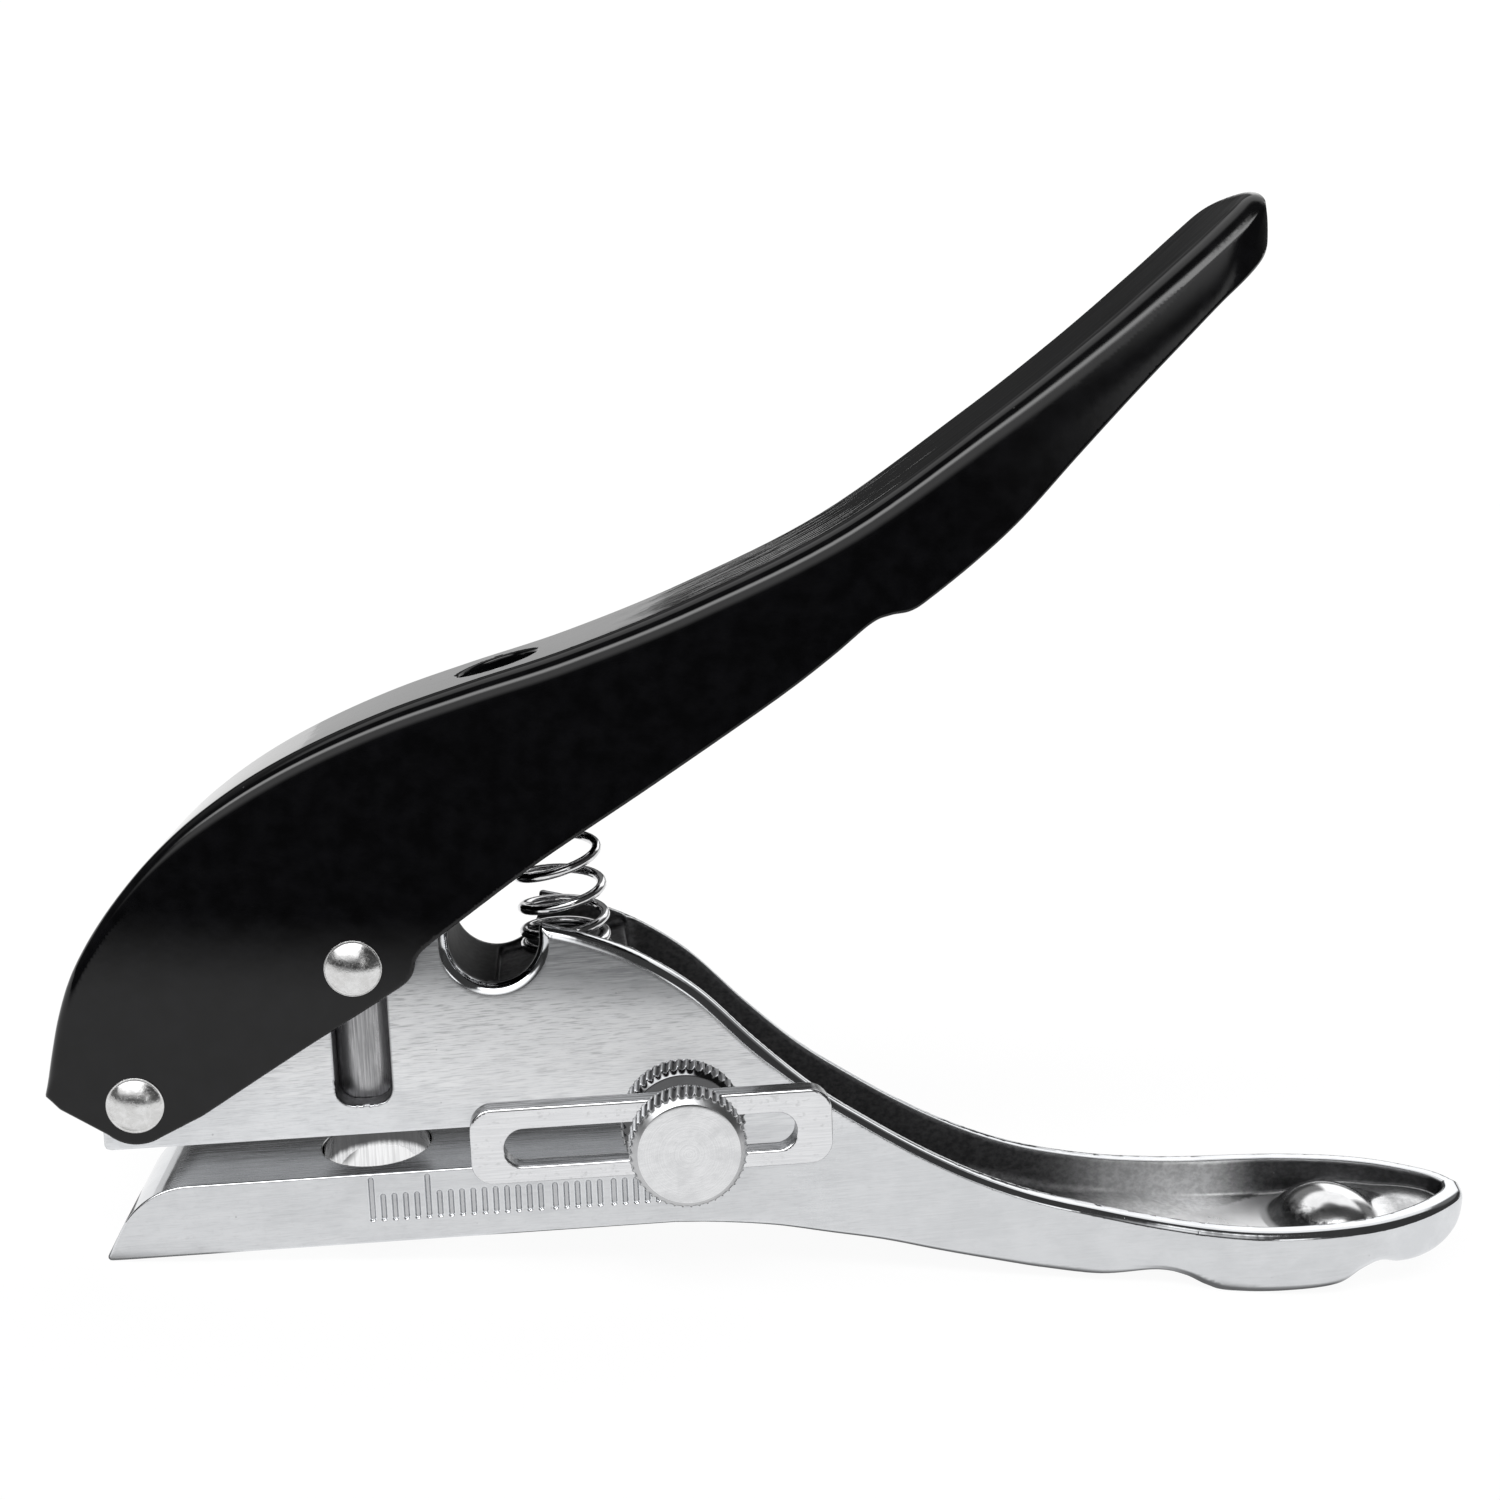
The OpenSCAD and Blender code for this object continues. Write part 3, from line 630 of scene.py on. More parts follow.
class Mat:
    def __init__(self, name):
        self.m = bpy.data.materials.new(name)
        self.m.use_nodes = True
        self.t = self.m.node_tree
        self.t.nodes.clear()
        self.out = self.t.nodes.new("ShaderNodeOutputMaterial")
        self.b = self.t.nodes.new("ShaderNodeBsdfPrincipled")
        self.t.links.new(self.b.outputs[0], self.out.inputs[0])
        co = self.t.nodes.new("ShaderNodeTexCoord")
        mp = self.t.nodes.new("ShaderNodeMapping")
        mp.inputs["Location"].default_value = (-(AT[0] * CA + AT[2] * SA), -AT[1], -(-AT[0] * SA + AT[2] * CA))
        mp.inputs["Rotation"].default_value = (0, STAND, 0)
        mp.inputs["Scale"].default_value = (1000, 1000, 1000)
        self.t.links.new(co.outputs["Object"], mp.inputs["Vector"])
        self.mm = mp.outputs[0]

    def put(self, node, **values):
        for k, v in values.items():
            k = k.replace("_", " ")
            s = node.inputs[int(k)] if k.isdigit() else node.inputs[k]
            if isinstance(v, bpy.types.NodeSocket):
                self.t.links.new(v, s)
            else:
                s.default_value = v
        return node

    def set(self, **values):
        self.put(self.b, **values)
        return self

    def math(self, op, a, b=None, c=None, clamp=False):
        n = self.t.nodes.new("ShaderNodeMath")
        n.operation = op
        n.use_clamp = clamp
        for q, v in enumerate((a, b, c)):
            if v is not None:
                if isinstance(v, bpy.types.NodeSocket):
                    self.t.links.new(v, n.inputs[q])
                else:
                    n.inputs[q].default_value = v
        return n.outputs[0]

    def scaled(self, by, of=None, rot=(0, 0, 0)):
        vec = of or self.mm
        if any(rot):
            n = self.t.nodes.new("ShaderNodeMapping")
            n.inputs["Rotation"].default_value = rot
            self.t.links.new(vec, n.inputs["Vector"])
            vec = n.outputs[0]
        n = self.t.nodes.new("ShaderNodeMapping")
        n.inputs["Scale"].default_value = by
        self.t.links.new(vec, n.inputs["Vector"])
        return n.outputs[0]

    def noise(self, vec, scale=1.0, detail=3.0, rough=0.5, dist=0.0):
        n = self.t.nodes.new("ShaderNodeTexNoise")
        self.put(n, Vector=vec, Scale=scale, Detail=detail, Roughness=rough, Distortion=dist)
        return n.outputs[0]

    def cells(self, vec, scale, rand=1.0):
        n = self.t.nodes.new("ShaderNodeTexVoronoi")
        self.put(n, Vector=vec, Scale=scale, Randomness=rand)
        return n.outputs["Distance"], n.outputs["Color"]

    def span(self, v, a, b, c, d, smooth=True):
        n = self.t.nodes.new("ShaderNodeMapRange")
        if smooth:
            n.interpolation_type = "SMOOTHSTEP"
        for k, x in zip(("Value", "From Min", "From Max", "To Min", "To Max"), (v, a, b, c, d)):
            if isinstance(x, bpy.types.NodeSocket):
                self.t.links.new(x, n.inputs[k])
            else:
                n.inputs[k].default_value = x
        return n.outputs[0]

    def mix(self, f, a, b):
        n = self.t.nodes.new("ShaderNodeMix")
        n.data_type = "RGBA"
        for k, x in ((0, f), (6, a), (7, b)):
            if isinstance(x, bpy.types.NodeSocket):
                self.t.links.new(x, n.inputs[k])
            else:
                n.inputs[k].default_value = (*x, 1) if isinstance(x, tuple) else x
        return n.outputs[2]

    def blend(self, f, a, b):
        n = self.t.nodes.new("ShaderNodeMix")
        n.data_type = "FLOAT"
        for k, x in ((0, f), (2, a), (3, b)):
            if isinstance(x, bpy.types.NodeSocket):
                self.t.links.new(x, n.inputs[k])
            else:
                n.inputs[k].default_value = x
        return n.outputs[0]

    def mark(self, name):
        n = self.t.nodes.new("ShaderNodeAttribute")
        n.attribute_name = name
        return n.outputs["Fac"]

    def parts(self, vec):
        n = self.t.nodes.new("ShaderNodeSeparateXYZ")
        self.t.links.new(vec, n.inputs[0])
        return n.outputs

    def normal(self):
        return self.parts(self.t.nodes.new("ShaderNodeNewGeometry").outputs["Normal"])

    def bump(self, height, strength, metres, on=None):
        n = self.t.nodes.new("ShaderNodeBump")
        self.put(n, Height=height, Strength=strength, Distance=metres)
        if on is not None:
            self.t.links.new(on, n.inputs["Normal"])
        return n.outputs[0]


def plated_casting():
    m = Mat("plated_casting")
    x, y, z = m.parts(m.mm)
    ny = m.math("ABSOLUTE", m.normal()[1])
    hollow, bored = m.mark("hollow"), m.mark("bored")
    outside = m.math("SUBTRACT", 1.0, hollow)
    flat = m.math("MULTIPLY", m.span(ny, 0.95, 0.995, 0.0, 1.0), outside)
    fore = m.span(x, 33, 60, 1.0, 0.45)
    # the jaw's top is belted too
    table = m.math("MULTIPLY", m.span(m.normal()[2], 0.90, 0.975, 0.0, 1.0), m.math("MULTIPLY", m.span(z, 0.05, 0.2, 1.0, 0.0), m.span(x, 24.5, 26.5, 1.0, 0.0)))
    table = m.math("MULTIPLY", table, m.span(z, -2.0, -0.6, 0.0, 1.0))
    side = m.math("MAXIMUM", m.math("MULTIPLY", flat, fore), table)
    # belt finish along the flat sides: long streaks with finer ones inside
    coarse = m.noise(m.scaled((0.10, 1.0, 2.2), rot=(0, math.radians(1.5), 0)), 1.0, 4.0, 0.62, 0.6)
    hair = m.noise(m.scaled((0.42, 1.0, 9.5), rot=(0, math.radians(1.5), 0)), 1.0, 3.0, 0.62, 0.5)
    cloud = m.noise(m.scaled((0.22, 0.22, 0.3)), 1.0, 5.0, 0.6)
    grain = m.noise(m.scaled((1.6, 1.6, 2.2)), 1.0, 4.0, 0.65)
    streak = m.math("ADD", m.math("MULTIPLY", coarse, 0.45), m.math("MULTIPLY", hair, 0.55))
    # painted shade: the upper part of the head is darker than the jaw, in ragged streaks
    ragged = m.math("ADD", m.math("ADD", z, m.math("MULTIPLY", m.math("SUBTRACT", x, 16.0), 0.13)), m.math("ADD", m.math("MULTIPLY", m.math("SUBTRACT", coarse, 0.5), 3.0), m.math("MULTIPLY", m.math("SUBTRACT", hair, 0.5), 3.0)))
    high = m.math("MULTIPLY", m.span(ragged, 13.6, 18.2, 0.0, 1.0), m.span(x, 34, 52, 1.0, 0.2))
    painted_top_shade = m.math("MULTIPLY", m.math("MULTIPLY", high, side), m.span(streak, 0.36, 0.62, 1.0, 0.55))
    bright = m.mix(m.span(cloud, 0.35, 0.65, 0.0, 1.0), (0.64, 0.652, 0.67), (0.70, 0.712, 0.73))
    belt = m.mix(m.span(cloud, 0.32, 0.68, 0.0, 1.0), (0.66, 0.672, 0.69), (0.76, 0.772, 0.79))
    belt = m.mix(m.span(streak, 0.4, 0.62, 0.0, 0.55), belt, (0.80, 0.81, 0.825))
    belt = m.mix(m.span(grain, 0.52, 0.72, 0.0, 0.3), belt, (0.58, 0.588, 0.6))
    colour = m.mix(side, bright, belt)
    # painted highlight: the lower part of the head's flat sides is lightened towards white, in streaks
    painted_highlight = m.math("MULTIPLY", m.math("MULTIPLY", m.span(ragged, 3.0, 8.0, 0.0, 0.62), m.math("SUBTRACT", 1.0, high)), m.math("MULTIPLY", flat, m.span(x, 30, 44, 1.0, 0.0)))
    colour = m.mix(m.math("MULTIPLY", painted_highlight, m.span(hair, 0.34, 0.6, 0.55, 1.0)), colour, (0.95, 0.954, 0.962))
    # painted shade: the flat sides are darker below z 4 mm, most on the jaw
    lower = m.math("MULTIPLY", flat, m.span(z, 0.0, 4.0, 0.28, 0.0))
    colour = m.mix(lower, colour, (0.42, 0.425, 0.435))
    # painted shade darkens the upper head
    colour = m.mix(m.math("MULTIPLY", painted_top_shade, 0.82), colour, (0.19, 0.194, 0.202))
    # short dark scratches left by the belt, thickest high on the head
    dash = m.noise(m.scaled((0.6, 1.0, 9.5), rot=(0, math.radians(1.0), 0)), 1.0, 3.0, 0.55, 0.4)
    worn = m.math("MULTIPLY", m.math("MULTIPLY", m.span(dash, 0.48, 0.7, 0.0, 0.55), side), m.span(z, 2.0, 17.0, 0.22, 1.0))
    colour = m.mix(worn, colour, (0.24, 0.245, 0.255))
    # and fine lines along the jaw's top, over painted shade that darkens all of the jaw's top under the head
    rule = m.noise(m.scaled((0.12, 5.5, 1.0)), 1.0, 4.0, 0.62, 0.3)
    colour = m.mix(m.math("MULTIPLY", table, m.span(rule, 0.36, 0.66, 0.4, 0.95)), colour, (0.3, 0.304, 0.312))
    # the hollow was never polished, so it is rougher; its colour is painted shade, dark near the head, lighter towards
    # the end
    inner = m.mix(m.span(x, 36, 78, 0.0, 1.0), (0.12, 0.12, 0.125), (0.84, 0.843, 0.85))
    inner = m.mix(m.span(cloud, 0.4, 0.7, 0.0, 0.25), inner, (0.25, 0.25, 0.255))
    # painted shade on its walls: dark but for a stretch where they flare out
    steep = m.span(m.normal()[2], 0.72, 0.93, 1.0, 0.0)
    # the walls' painted shade runs down over the floor as far as a wedge before the bosses
    wedge = m.math("SUBTRACT", m.math("ABSOLUTE", y), m.math("MULTIPLY", m.math("SUBTRACT", x, 73.0), 0.45))
    wedge = m.math("ADD", wedge, m.math("MULTIPLY", m.math("SUBTRACT", grain, 0.5), 1.2))
    steep = m.math("MAXIMUM", steep, m.span(wedge, -0.3, 0.4, 0.0, 1.0))
    # the bosses are polished, with painted shade only at their feet
    away = m.math("ADD", m.math("MULTIPLY", y, y), m.math("POWER", m.math("ABSOLUTE", m.math("SUBTRACT", x, 91.0)), 2.0))
    polish = m.math("MULTIPLY", m.span(away, 22, 30, 1.0, 0.0), hollow)
    steep = m.blend(polish, steep, m.span(m.math("ADD", m.normal()[2], m.math("MULTIPLY", m.math("SUBTRACT", grain, 0.5), 0.35)), 0.6, 0.84, 1.0, 0.0))
    flare = m.math("MULTIPLY", m.span(x, 62, 78, 0.0, 1.0), m.span(x, 79, 87, 1.0, 0.0))
    wall_shade = m.mix(flare, m.mix(m.span(grain, 0.3, 0.7, 0.0, 1.0), (0.055, 0.055, 0.057), (0.12, 0.12, 0.123)), m.mix(m.span(grain, 0.3, 0.7, 0.0, 1.0), (0.62, 0.623, 0.63), (0.86, 0.863, 0.87)))
    # painted shade: the hollow's floor past the second boss is darkened
    inner = m.mix(m.math("MULTIPLY", m.span(x, 93.5, 96.5, 0.0, 1.0), m.span(grain, 0.3, 0.7, 0.35, 0.8)), inner, (0.34, 0.343, 0.35))
    # painted shade: the walls go nearly black towards the handle's end
    wall_shade = m.mix(m.span(x, 82, 90, 0.0, 0.75), wall_shade, (0.012, 0.012, 0.0125))
    inner = m.mix(steep, inner, wall_shade)
    colour = m.mix(hollow, colour, inner)
    # painted shade: the notch's inside is near black; it is also left rough
    colour = m.mix(m.mark("bitten"), colour, m.mix(m.span(grain, 0.35, 0.7, 0.0, 1.0), (0.011, 0.011, 0.0115), (0.026, 0.026, 0.027)))
    # the die hole is polished, with upright lines from the reamer
    ream = m.noise(m.scaled((3.2, 3.2, 0.12)), 1.0, 3.0, 0.6)
    colour = m.mix(m.mark("die"), colour, m.mix(m.span(ream, 0.42, 0.66, 0.0, 1.0), (0.93, 0.932, 0.936), (0.74, 0.742, 0.748)))
    # painted shade in the die hole's upper part
    bore_shade = m.math("MULTIPLY", m.mark("die"), m.span(m.math("ADD", z, m.math("MULTIPLY", ream, 0.5)), -2.3, -1.6, 0.0, 0.92))
    colour = m.mix(bore_shade, colour, (0.05, 0.05, 0.052))
    # painted shade: the slot and the guide bore are darkened inside
    colour = m.mix(bored, colour, m.mix(m.span(grain, 0.35, 0.7, 0.0, 1.0), (0.08, 0.08, 0.085), (0.16, 0.16, 0.165)))
    # small pits in the plating
    pit, tone = m.cells(m.scaled((0.75, 0.75, 0.75)), 1.0)
    rare = m.span(m.parts(tone)[0], 0.86, 0.88, 0.0, 1.0)
    pits = m.math("MULTIPLY", m.span(pit, 0.04, 0.09, 1.0, 0.0), rare)
    colour = m.mix(m.math("MULTIPLY", pits, 0.35), colour, (0.2, 0.2, 0.21))
    # painted shade in the sunk scale marks
    colour = m.mix(m.math("MULTIPLY", m.mark("sunk"), 0.35), colour, (0.3, 0.3, 0.31))
    rough = m.blend(side, m.span(cloud, 0.3, 0.7, 0.05, 0.11), m.blend(m.span(x, 30, 48, 0.0, 1.0), m.span(streak, 0.3, 0.7, 0.42, 0.32), m.span(streak, 0.3, 0.7, 0.28, 0.2)))
    rough = m.blend(table, rough, m.span(rule, 0.35, 0.65, 0.3, 0.2))
    rough = m.blend(hollow, rough, m.math("ADD", m.span(cloud, 0.3, 0.7, 0.08, 0.0), m.math("ADD", m.blend(polish, m.span(x, 58, 80, 0.34, 0.27), 0.1), m.math("MULTIPLY", steep, 0.16))))
    rough = m.blend(m.mark("bitten"), rough, 0.62)
    rough = m.blend(m.mark("die"), rough, m.span(ream, 0.35, 0.7, 0.03, 0.07))
    rough = m.blend(bored, rough, 0.38)
    bump = m.bump(m.math("MULTIPLY", streak, side), 0.5, 0.000008)
    bump = m.bump(m.math("MULTIPLY", grain, side), 0.35, 0.000008, on=bump)
    wave = m.noise(m.scaled((0.16, 0.3, 0.3)), 1.0, 2.0, 0.4)
    bump = m.bump(wave, 0.4, 0.00003, on=bump)
    bump = m.bump(m.math("SUBTRACT", 1.0, pits), 0.5, 0.00002, on=bump)
    m.set(Base_Color=colour, Metallic=1.0, Roughness=rough, Normal=bump)
    return m.m


def black_paint():
    m = Mat("black_paint")
    peel = m.noise(m.scaled((1.3, 1.3, 1.3)), 1.0, 2.0, 0.4)
    wave = m.noise(m.scaled((0.09, 0.12, 0.09)), 1.0, 2.0, 0.4)
    cloud = m.noise(m.scaled((0.5, 0.5, 0.5)), 1.0, 5.0, 0.6)
    # faint rubbing marks along the lever's top
    rub = m.noise(m.scaled((0.05, 1.3, 0.3), rot=(0, math.radians(33), 0)), 1.0, 3.0, 0.5)
    top = m.span(m.math("ABSOLUTE", m.normal()[1]), 0.2, 0.6, 1.0, 0.0)
    spot, tone = m.cells(m.scaled((0.55, 0.55, 0.55)), 1.0)
    keep = m.span(m.parts(tone)[1], 0.90, 0.92, 0.0, 1.0)
    dust = m.math("MULTIPLY", m.span(spot, 0.03, 0.06, 1.0, 0.0), keep)
    colour = m.mix(m.span(cloud, 0.3, 0.75, 0.0, 1.0), (0.0014, 0.0014, 0.0016), (0.0034, 0.0034, 0.004))
    colour = m.mix(m.math("MULTIPLY", dust, 0.4), colour, (0.08, 0.08, 0.08))
    rough = m.span(cloud, 0.3, 0.75, 0.03, 0.055)
    rough = m.blend(m.math("MULTIPLY", top, m.math("MULTIPLY", m.span(rub, 0.42, 0.66, 0.0, 1.0), m.span(m.parts(m.mm)[0], 28, 37, 0.0, 1.0))), rough, 0.1)
    rough = m.math("ADD", rough, m.math("MULTIPLY", m.span(m.parts(m.mm)[0], 46, 62, 0.0, 0.1), m.math("SUBTRACT", 1.0, top)))
    rough = m.blend(dust, rough, 0.45)
    bump = m.bump(peel, 0.4, 0.000004)
    x = m.parts(m.mm)[0]
    bump = m.bump(m.math("MULTIPLY", m.math("MULTIPLY", rub, top), m.span(x, 27.5, 38, 0.0, 1.0)), 0.9, 0.00005, on=bump)
    bump = m.bump(wave, 0.5, 0.00006, on=bump)
    m.set(Base_Color=colour, Metallic=0.0, Roughness=rough, Normal=bump)
    m.b.inputs["IOR"].default_value = 1.38
    return m.m


def tool_steel():
    m = Mat("tool_steel")
    lay = m.noise(m.scaled((6.0, 6.0, 0.22)), 1.0, 4.0, 0.6)
    mott = m.noise(m.scaled((0.9, 0.9, 0.5)), 1.0, 4.0, 0.6)
    colour = m.mix(m.span(lay, 0.3, 0.7, 0.0, 1.0), (0.30, 0.30, 0.308), (0.50, 0.50, 0.51))
    colour = m.mix(m.span(mott, 0.45, 0.75, 0.0, 0.6), colour, (0.3, 0.3, 0.305))
    rough = m.span(lay, 0.3, 0.7, 0.4, 0.26)
    m.set(Base_Color=colour, Metallic=1.0, Roughness=rough, Normal=m.bump(lay, 0.5, 0.00001))
    return m.m


def rivet_steel():
    m = Mat("rivet_steel")
    mott = m.noise(m.scaled((1.1, 1.1, 1.1)), 1.0, 5.0, 0.62, 0.4)
    fine_n = m.noise(m.scaled((4.5, 4.5, 4.5)), 1.0, 3.0, 0.6)
    colour = m.mix(m.span(mott, 0.36, 0.66, 0.0, 1.0), (0.62, 0.617, 0.612), (0.73, 0.73, 0.73))
    rough = m.span(fine_n, 0.3, 0.7, 0.17, 0.28)
    bump = m.bump(mott, 0.6, 0.00004)
    bump = m.bump(fine_n, 0.3, 0.000008, on=bump)
    m.set(Base_Color=colour, Metallic=1.0, Roughness=rough, Normal=bump)
    return m.m


def spring_wire():
    m = Mat("spring_wire")
    drawn = m.noise(m.scaled((1.2, 1.2, 7.0)), 1.0, 4.0, 0.6)
    cloud = m.noise(m.scaled((0.5, 0.5, 0.5)), 1.0, 3.0, 0.5)
    colour = m.mix(m.span(drawn, 0.3, 0.7, 0.0, 1.0), (0.60, 0.60, 0.61), (0.76, 0.76, 0.77))
    rough = m.span(cloud, 0.3, 0.7, 0.07, 0.14)
    m.set(Base_Color=colour, Metallic=1.0, Roughness=rough, Normal=m.bump(drawn, 0.3, 0.000006))
    return m.m


def knurled_nickel():
    m = Mat("knurled_nickel")
    x, y, z = m.parts(m.mm)
    dx, dz = m.math("SUBTRACT", x, STUD[0]), m.math("SUBTRACT", z, STUD[1])
    r = m.math("SQRT", m.math("ADD", m.math("MULTIPLY", dx, dx), m.math("MULTIPLY", dz, dz)))
    join_n = m.t.nodes.new("ShaderNodeCombineXYZ")
    m.put(join_n, X=m.math("MULTIPLY", r, 9.0), Y=m.math("MULTIPLY", y, 0.6), Z=0.0)
    rings = m.noise(join_n.outputs[0], 1.0, 3.0, 0.6)
    cloud = m.noise(m.scaled((0.55, 0.55, 0.55)), 1.0, 5.0, 0.6)
    hair = m.noise(m.scaled((1.1, 1.0, 4.0), rot=(0, 0.2, 0)), 1.0, 4.0, 0.65)
    face = m.span(m.math("ABSOLUTE", m.normal()[1]), 0.95, 0.99, 0.0, 1.0)
    mixd = m.math("ADD", m.math("MULTIPLY", rings, 0.55), m.math("MULTIPLY", hair, 0.45))
    colour = m.mix(m.span(mixd, 0.34, 0.66, 0.0, 1.0), (0.66, 0.665, 0.675), (0.76, 0.765, 0.775))
    colour = m.mix(m.math("MULTIPLY", m.span(cloud, 0.45, 0.7, 0.0, 0.5), 1.0), colour, (0.56, 0.565, 0.575))
    colour = m.mix(m.math("MULTIPLY", m.math("SUBTRACT", 1.0, face), 0.3), colour, (0.4, 0.403, 0.41))
    # dirt and shade in the knurls' grooves
    deep = m.math("MULTIPLY", m.span(r, 4.86, 5.06, 1.0, 0.0), m.math("MULTIPLY", m.span(y, -14.5, -14.4, 0.0, 1.0), m.span(y, -12.3, -12.2, 1.0, 0.0)))
    deep2 = m.math("MULTIPLY", m.span(r, 5.26, 5.46, 1.0, 0.0), m.math("MULTIPLY", m.span(y, -9.36, -9.24, 0.0, 1.0), m.span(y, -7.4, -7.3, 1.0, 0.0)))
    deep = m.math("MAXIMUM", deep, deep2)
    # painted shade: the nut, behind the plate, is darkened
    colour = m.mix(m.span(y, -10.9, -10.7, 0.0, 0.55), colour, (0.22, 0.222, 0.228))
    # and its chamfer, against the plate, is painted near black as shade
    plate_shade = m.math("MULTIPLY", m.span(y, -9.9, -9.8, 0.0, 1.0), m.span(y, -9.44, -9.3, 1.0, 0.0))
    colour = m.mix(m.math("MULTIPLY", plate_shade, 0.85), colour, (0.05, 0.05, 0.052))
    colour = m.mix(deep, colour, (0.05, 0.05, 0.053))
    rough = m.blend(face, m.span(cloud, 0.3, 0.7, 0.10, 0.18), m.span(mixd, 0.3, 0.7, 0.2, 0.12))
    rough = m.blend(deep, rough, 0.4)
    lip = m.math("MULTIPLY", m.math("SUBTRACT", 1.0, face), m.span(y, -14.6, -14.45, 1.0, 0.0))
    colour = m.mix(m.math("MULTIPLY", lip, 0.45), colour, (0.36, 0.363, 0.37))
    rough = m.blend(lip, rough, 0.34)
    m.set(Base_Color=colour, Metallic=1.0, Roughness=rough, Normal=m.bump(mixd, 0.4, 0.000008))
    return m.m


def plated_sheet():
    m = Mat("plated_sheet")
    hair = m.noise(m.scaled((0.25, 1.0, 8.0)), 1.0, 4.0, 0.6)
    cloud = m.noise(m.scaled((0.35, 0.35, 0.6)), 1.0, 4.0, 0.6)
    colour = m.mix(m.span(hair, 0.35, 0.65, 0.0, 1.0), (0.68, 0.685, 0.70), (0.75, 0.755, 0.768))
    fleck = m.noise(m.scaled((1.4, 1.4, 2.0)), 1.0, 4.0, 0.7)
    colour = m.mix(m.span(fleck, 0.56, 0.7, 0.0, 0.4), colour, (0.45, 0.453, 0.46))
    rough = m.span(cloud, 0.3, 0.7, 0.10, 0.2)
    # the cut edge is rougher, with the shear's lines along it, and painted dark as shade
    shear = m.noise(m.scaled((0.14, 6.0, 6.0)), 1.0, 3.0, 0.6)
    edge = m.span(m.math("ABSOLUTE", m.normal()[1]), 0.3, 0.75, 1.0, 0.0)
    colour = m.mix(m.math("MULTIPLY", edge, m.span(shear, 0.4, 0.62, 0.6, 1.0)), colour, (0.12, 0.122, 0.126))
    rough = m.blend(edge, rough, 0.22)
    bump = m.bump(hair, 0.35, 0.000005)
    bump = m.bump(m.noise(m.scaled((0.1, 0.3, 0.3)), 1.0, 2.0, 0.4), 0.5, 0.00003, on=bump)
    m.set(Base_Color=colour, Metallic=1.0, Roughness=rough, Normal=bump)
    return m.m


LOOK = {f.__name__: f() for f in (plated_casting, black_paint, tool_steel, rivet_steel, spring_wire, knurled_nickel, plated_sheet)}


def dress(ob, slot, body=None, node=None):
    ob.data.materials.clear()
    ob.data.materials.append(LOOK[slot])
    if node:
        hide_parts(node)
        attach(ob, body)


dress(base, "plated_casting", "base", "base_frame")
dress(lever, "black_paint", "lever", "lever_shell")
dress(plate, "plated_sheet", "stop", "stop_plate")
dress(punch, "tool_steel", "plunger", "punch")
dress(knob, "knurled_nickel", "knob", "thumb_knob")
dress(nut, "knurled_nickel", "nut", "backing_nut")
dress(drive_rivet, "rivet_steel", "lever", "drive_rivet")
dress(pivot_rivet, "rivet_steel", "lever", "pivot_rivet")
dress(coil, "spring_wire", "base", "return_spring")
plate.visible_glossy = nut.visible_glossy = knob.visible_glossy = False  # else the brushed head shows them as a dark blur
for name in ("drive_sleeve", "pivot_sleeve", "stop_stud"):
    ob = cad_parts[name]
    for s in range(len(ob.material_slots)):
        ob.material_slots[s].link = "OBJECT"
        ob.material_slots[s].material = LOOK["tool_steel"]
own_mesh(coil)

# ---------------------------------------------------------------------------
# Floor, light and camera
# ---------------------------------------------------------------------------
me = bpy.data.meshes.new("floor")
me.from_pydata([(-4, -4, -0.00003), (4, -4, -0.00003), (4, 4, -0.00003), (-4, 4, -0.00003)], [], [[0, 1, 2, 3]])
floor = bpy.data.objects.new("floor", me)
bpy.context.scene.collection.objects.link(floor)
fm = bpy.data.materials.new("pale_floor")
fm.use_nodes = True
fb = fm.node_tree.nodes["Principled BSDF"]
fb.inputs["Base Color"].default_value = (0.08, 0.08, 0.08, 1)
fb.inputs["Emission Color"].default_value = (1, 1, 1, 1)
fb.inputs["Emission Strength"].default_value = 0.93
fb.inputs["Roughness"].default_value = 0.9
fb.inputs["Specular IOR Level"].default_value = 0.0
me.materials.append(fm)
# a dark flag that lies in front of the tool and under it: only polished faces see it
me = bpy.data.meshes.new("front_flag")
me.from_pydata([(-4.5, -4.5, 0.0002), (4.5, -4.5, 0.0002), (4.5, 0.012, 0.0002), (-4.5, 0.012, 0.0002)], [], [[0, 1, 2, 3]])
flag = bpy.data.objects.new("front_flag", me)
bpy.context.scene.collection.objects.link(flag)
gm = bpy.data.materials.new("flag")
gm.use_nodes = True
g = gm.node_tree
g.nodes.clear()


class Plain(Mat):
    def __init__(self, tree):
        self.t = tree


p = Plain(g)
across, ahead, _ = p.parts(g.nodes.new("ShaderNodeTexCoord").outputs["Object"])
fade = p.span(ahead, -0.072, -0.116, 0.0, 1.0)
# painted shadow: it is dark right under the tool too, standing in for the tool's contact shadow, but not below the die
# hole
contact_shadow = p.math("MULTIPLY", p.span(ahead, -0.0058, -0.0036, 0.0, 0.85), p.span(ahead, 0.0096, 0.0116, 1.0, 0.0))
contact_shadow = p.math("MULTIPLY", contact_shadow, p.math("MULTIPLY", p.span(across, 0.050, 0.057, 1.0, 0.0), p.span(across, -0.07, -0.064, 0.0, 1.0)))
contact_shadow = p.math("MULTIPLY", contact_shadow, p.span(p.math("ABSOLUTE", p.math("ADD", across, 0.0385)), 0.010, 0.014, 0.0, 1.0))
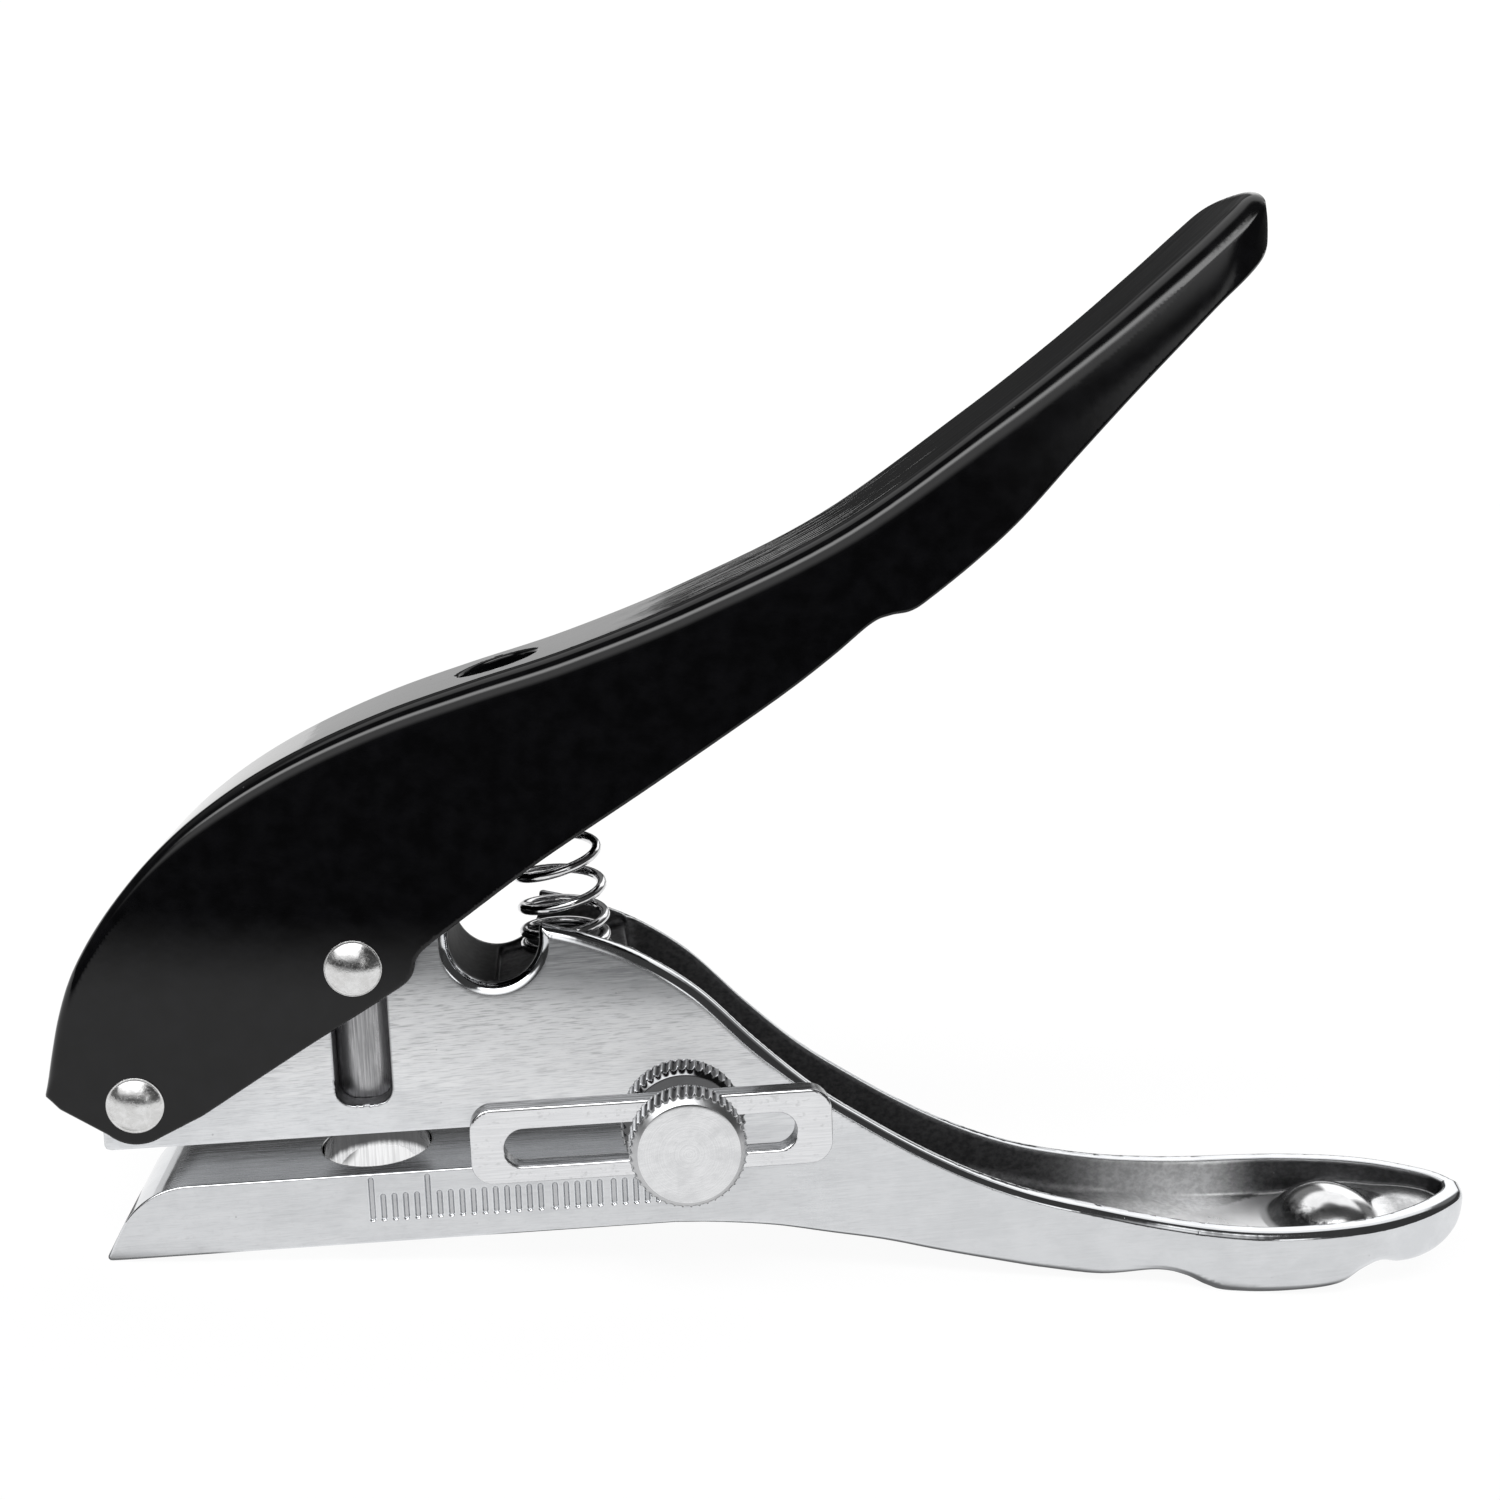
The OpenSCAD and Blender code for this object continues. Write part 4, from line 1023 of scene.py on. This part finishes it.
# painted shadow: the same dark zone reaches further in front of the handle's widest part
pad_shadow = p.math("MULTIPLY", p.span(ahead, -0.0076, -0.0056, 0.0, 0.85), p.span(ahead, 0.0096, 0.0116, 1.0, 0.0))
pad_shadow = p.math("MULTIPLY", pad_shadow, p.math("MULTIPLY", p.span(across, 0.031, 0.038, 0.0, 1.0), p.span(across, 0.050, 0.055, 1.0, 0.0)))
fade = p.math("MAXIMUM", fade, p.math("MAXIMUM", contact_shadow, pad_shadow))
clear, dark, both = g.nodes.new("ShaderNodeBsdfTransparent"), g.nodes.new("ShaderNodeEmission"), g.nodes.new("ShaderNodeMixShader")
dark.inputs["Strength"].default_value = 0.03
g.links.new(fade, both.inputs[0])
g.links.new(clear.outputs[0], both.inputs[1])
g.links.new(dark.outputs[0], both.inputs[2])
g.links.new(both.outputs[0], g.nodes.new("ShaderNodeOutputMaterial").inputs[0])
me.materials.append(gm)
for way in ("camera", "diffuse", "shadow", "transmission", "volume_scatter"):
    setattr(flag, "visible_" + way, False)

world = bpy.data.worlds.new("studio")
bpy.context.scene.world = world
world.use_nodes = True
t = world.node_tree
t.nodes.clear()


w = Plain(t)
way = t.nodes.new("ShaderNodeTexCoord").outputs["Generated"]
wx, wy, wz = w.parts(way)
front = w.math("MULTIPLY", wy, -1.0)
phi = w.math("MULTIPLY", w.math("ARCTAN2", wz, front), 180 / math.pi)
el = w.math("MULTIPLY", w.math("ARCSINE", wz), 180 / math.pi)
az = w.math("MULTIPLY", w.math("ARCTAN2", wx, wy), 180 / math.pi)
# a long soft box overhead and towards the front, with a dim one below it
box = w.math("MULTIPLY", w.span(phi, 44, 56, 0.0, 7.0), w.span(phi, 60, 71, 1.0, 0.0))
low = w.math("MULTIPLY", w.span(phi, 5, 28, 0.0, 1.6), w.span(phi, 60, 70, 1.0, 0.0))
box = w.math("ADD", w.math("MULTIPLY", box, w.span(wx, 0.08, 0.32, 1.0, 0.0)), w.math("MULTIPLY", low, w.span(wx, 0.12, 0.3, 1.0, 0.0)))
box = w.math("MULTIPLY", box, w.span(wx, -0.86, -0.72, 0.0, 1.0))
# a low white backdrop behind and to the sides
back = w.math("MULTIPLY", w.span(el, 6.75, 7.0, 0.68, 0.0), w.span(wy, 0.2, 0.5, 0.0, 1.0))
# a second soft box behind, to the right
side = w.math("MULTIPLY", w.span(az, 13, 20, 0.0, 1.3), w.span(az, 48, 60, 1.0, 0.0))
side = w.math("MULTIPLY", side, w.math("MULTIPLY", w.span(el, 12, 18, 0.0, 1.0), w.span(el, 40, 48, 1.0, 0.0)))
light = w.math("ADD", w.math("ADD", box, back), side)
# a dim panel low in front, to the right
panel = w.math("MULTIPLY", w.span(wx, 0.315, 0.33, 0.0, 1.6), w.span(wx, 0.40, 0.46, 1.0, 0.0))
panel = w.math("MULTIPLY", panel, w.math("MULTIPLY", w.span(phi, -3, 1, 0.0, 1.0), w.span(phi, 10, 20, 1.0, 0.0)))
# and a wide one high up behind
over = w.math("MULTIPLY", w.span(el, 40, 48, 0.0, 1.0), w.span(el, 70, 80, 1.0, 0.0))
over = w.math("MULTIPLY", over, w.span(wy, 0.08, 0.22, 0.0, 1.0))
light = w.math("ADD", light, w.math("ADD", panel, over))
# the room: nearly black in front, a little lighter behind
room = w.math("MULTIPLY", w.span(el, 19.5, 26, 0.05, 0.2), w.span(wy, -0.1, 0.3, 0.0, 1.0))
light = w.math("ADD", light, w.math("MAXIMUM", room, 0.05))
ray = t.nodes.new("ShaderNodeLightPath").outputs["Is Camera Ray"]
light = w.blend(ray, light, 1.05)
bg = t.nodes.new("ShaderNodeBackground")
bg.inputs["Color"].default_value = (1, 1, 1, 1)
t.links.new(light, bg.inputs["Strength"])
wo = t.nodes.new("ShaderNodeOutputWorld")
t.links.new(bg.outputs[0], wo.inputs[0])

scene = bpy.context.scene
scene.view_settings.view_transform = "Standard"
scene.view_settings.look = "None"
scene.view_settings.exposure = 0.0
scene.view_settings.gamma = 1.0

eye = np.array([18.764, -150.671, 65.403])
yaw, pitch, roll = 0.052512, 0.152956, 0.044012
fwd = np.array([math.sin(yaw) * math.cos(pitch), math.cos(yaw) * math.cos(pitch), -math.sin(pitch)])
right = np.array([math.cos(yaw), -math.sin(yaw), 0.0])
down = np.cross(fwd, right)
r2 = math.cos(roll) * right + math.sin(roll) * down
d2 = -math.sin(roll) * right + math.cos(roll) * down
cam = bpy.data.cameras.new("photo_view")
cam.sensor_fit = "HORIZONTAL"
cam.sensor_width = 36.0
cam.lens = 1700.79 / 1500 * 36.0
cam.shift_x = (750 - 644.647) / 1500
cam.shift_y = (678.537 - 750) / 1500
cam.clip_start = 0.005
cam.clip_end = 50
cam.dof.use_dof = False
cam_ob = bpy.data.objects.new("photo_view", cam)
scene.collection.objects.link(cam_ob)
axes = [turned(r2), turned(-d2), turned(-fwd)]
spot = stood(eye)
cam_ob.matrix_world = Matrix([[axes[0][q], axes[1][q], axes[2][q], spot[q]] for q in range(3)] + [[0, 0, 0, 1]])
scene.camera = cam_ob
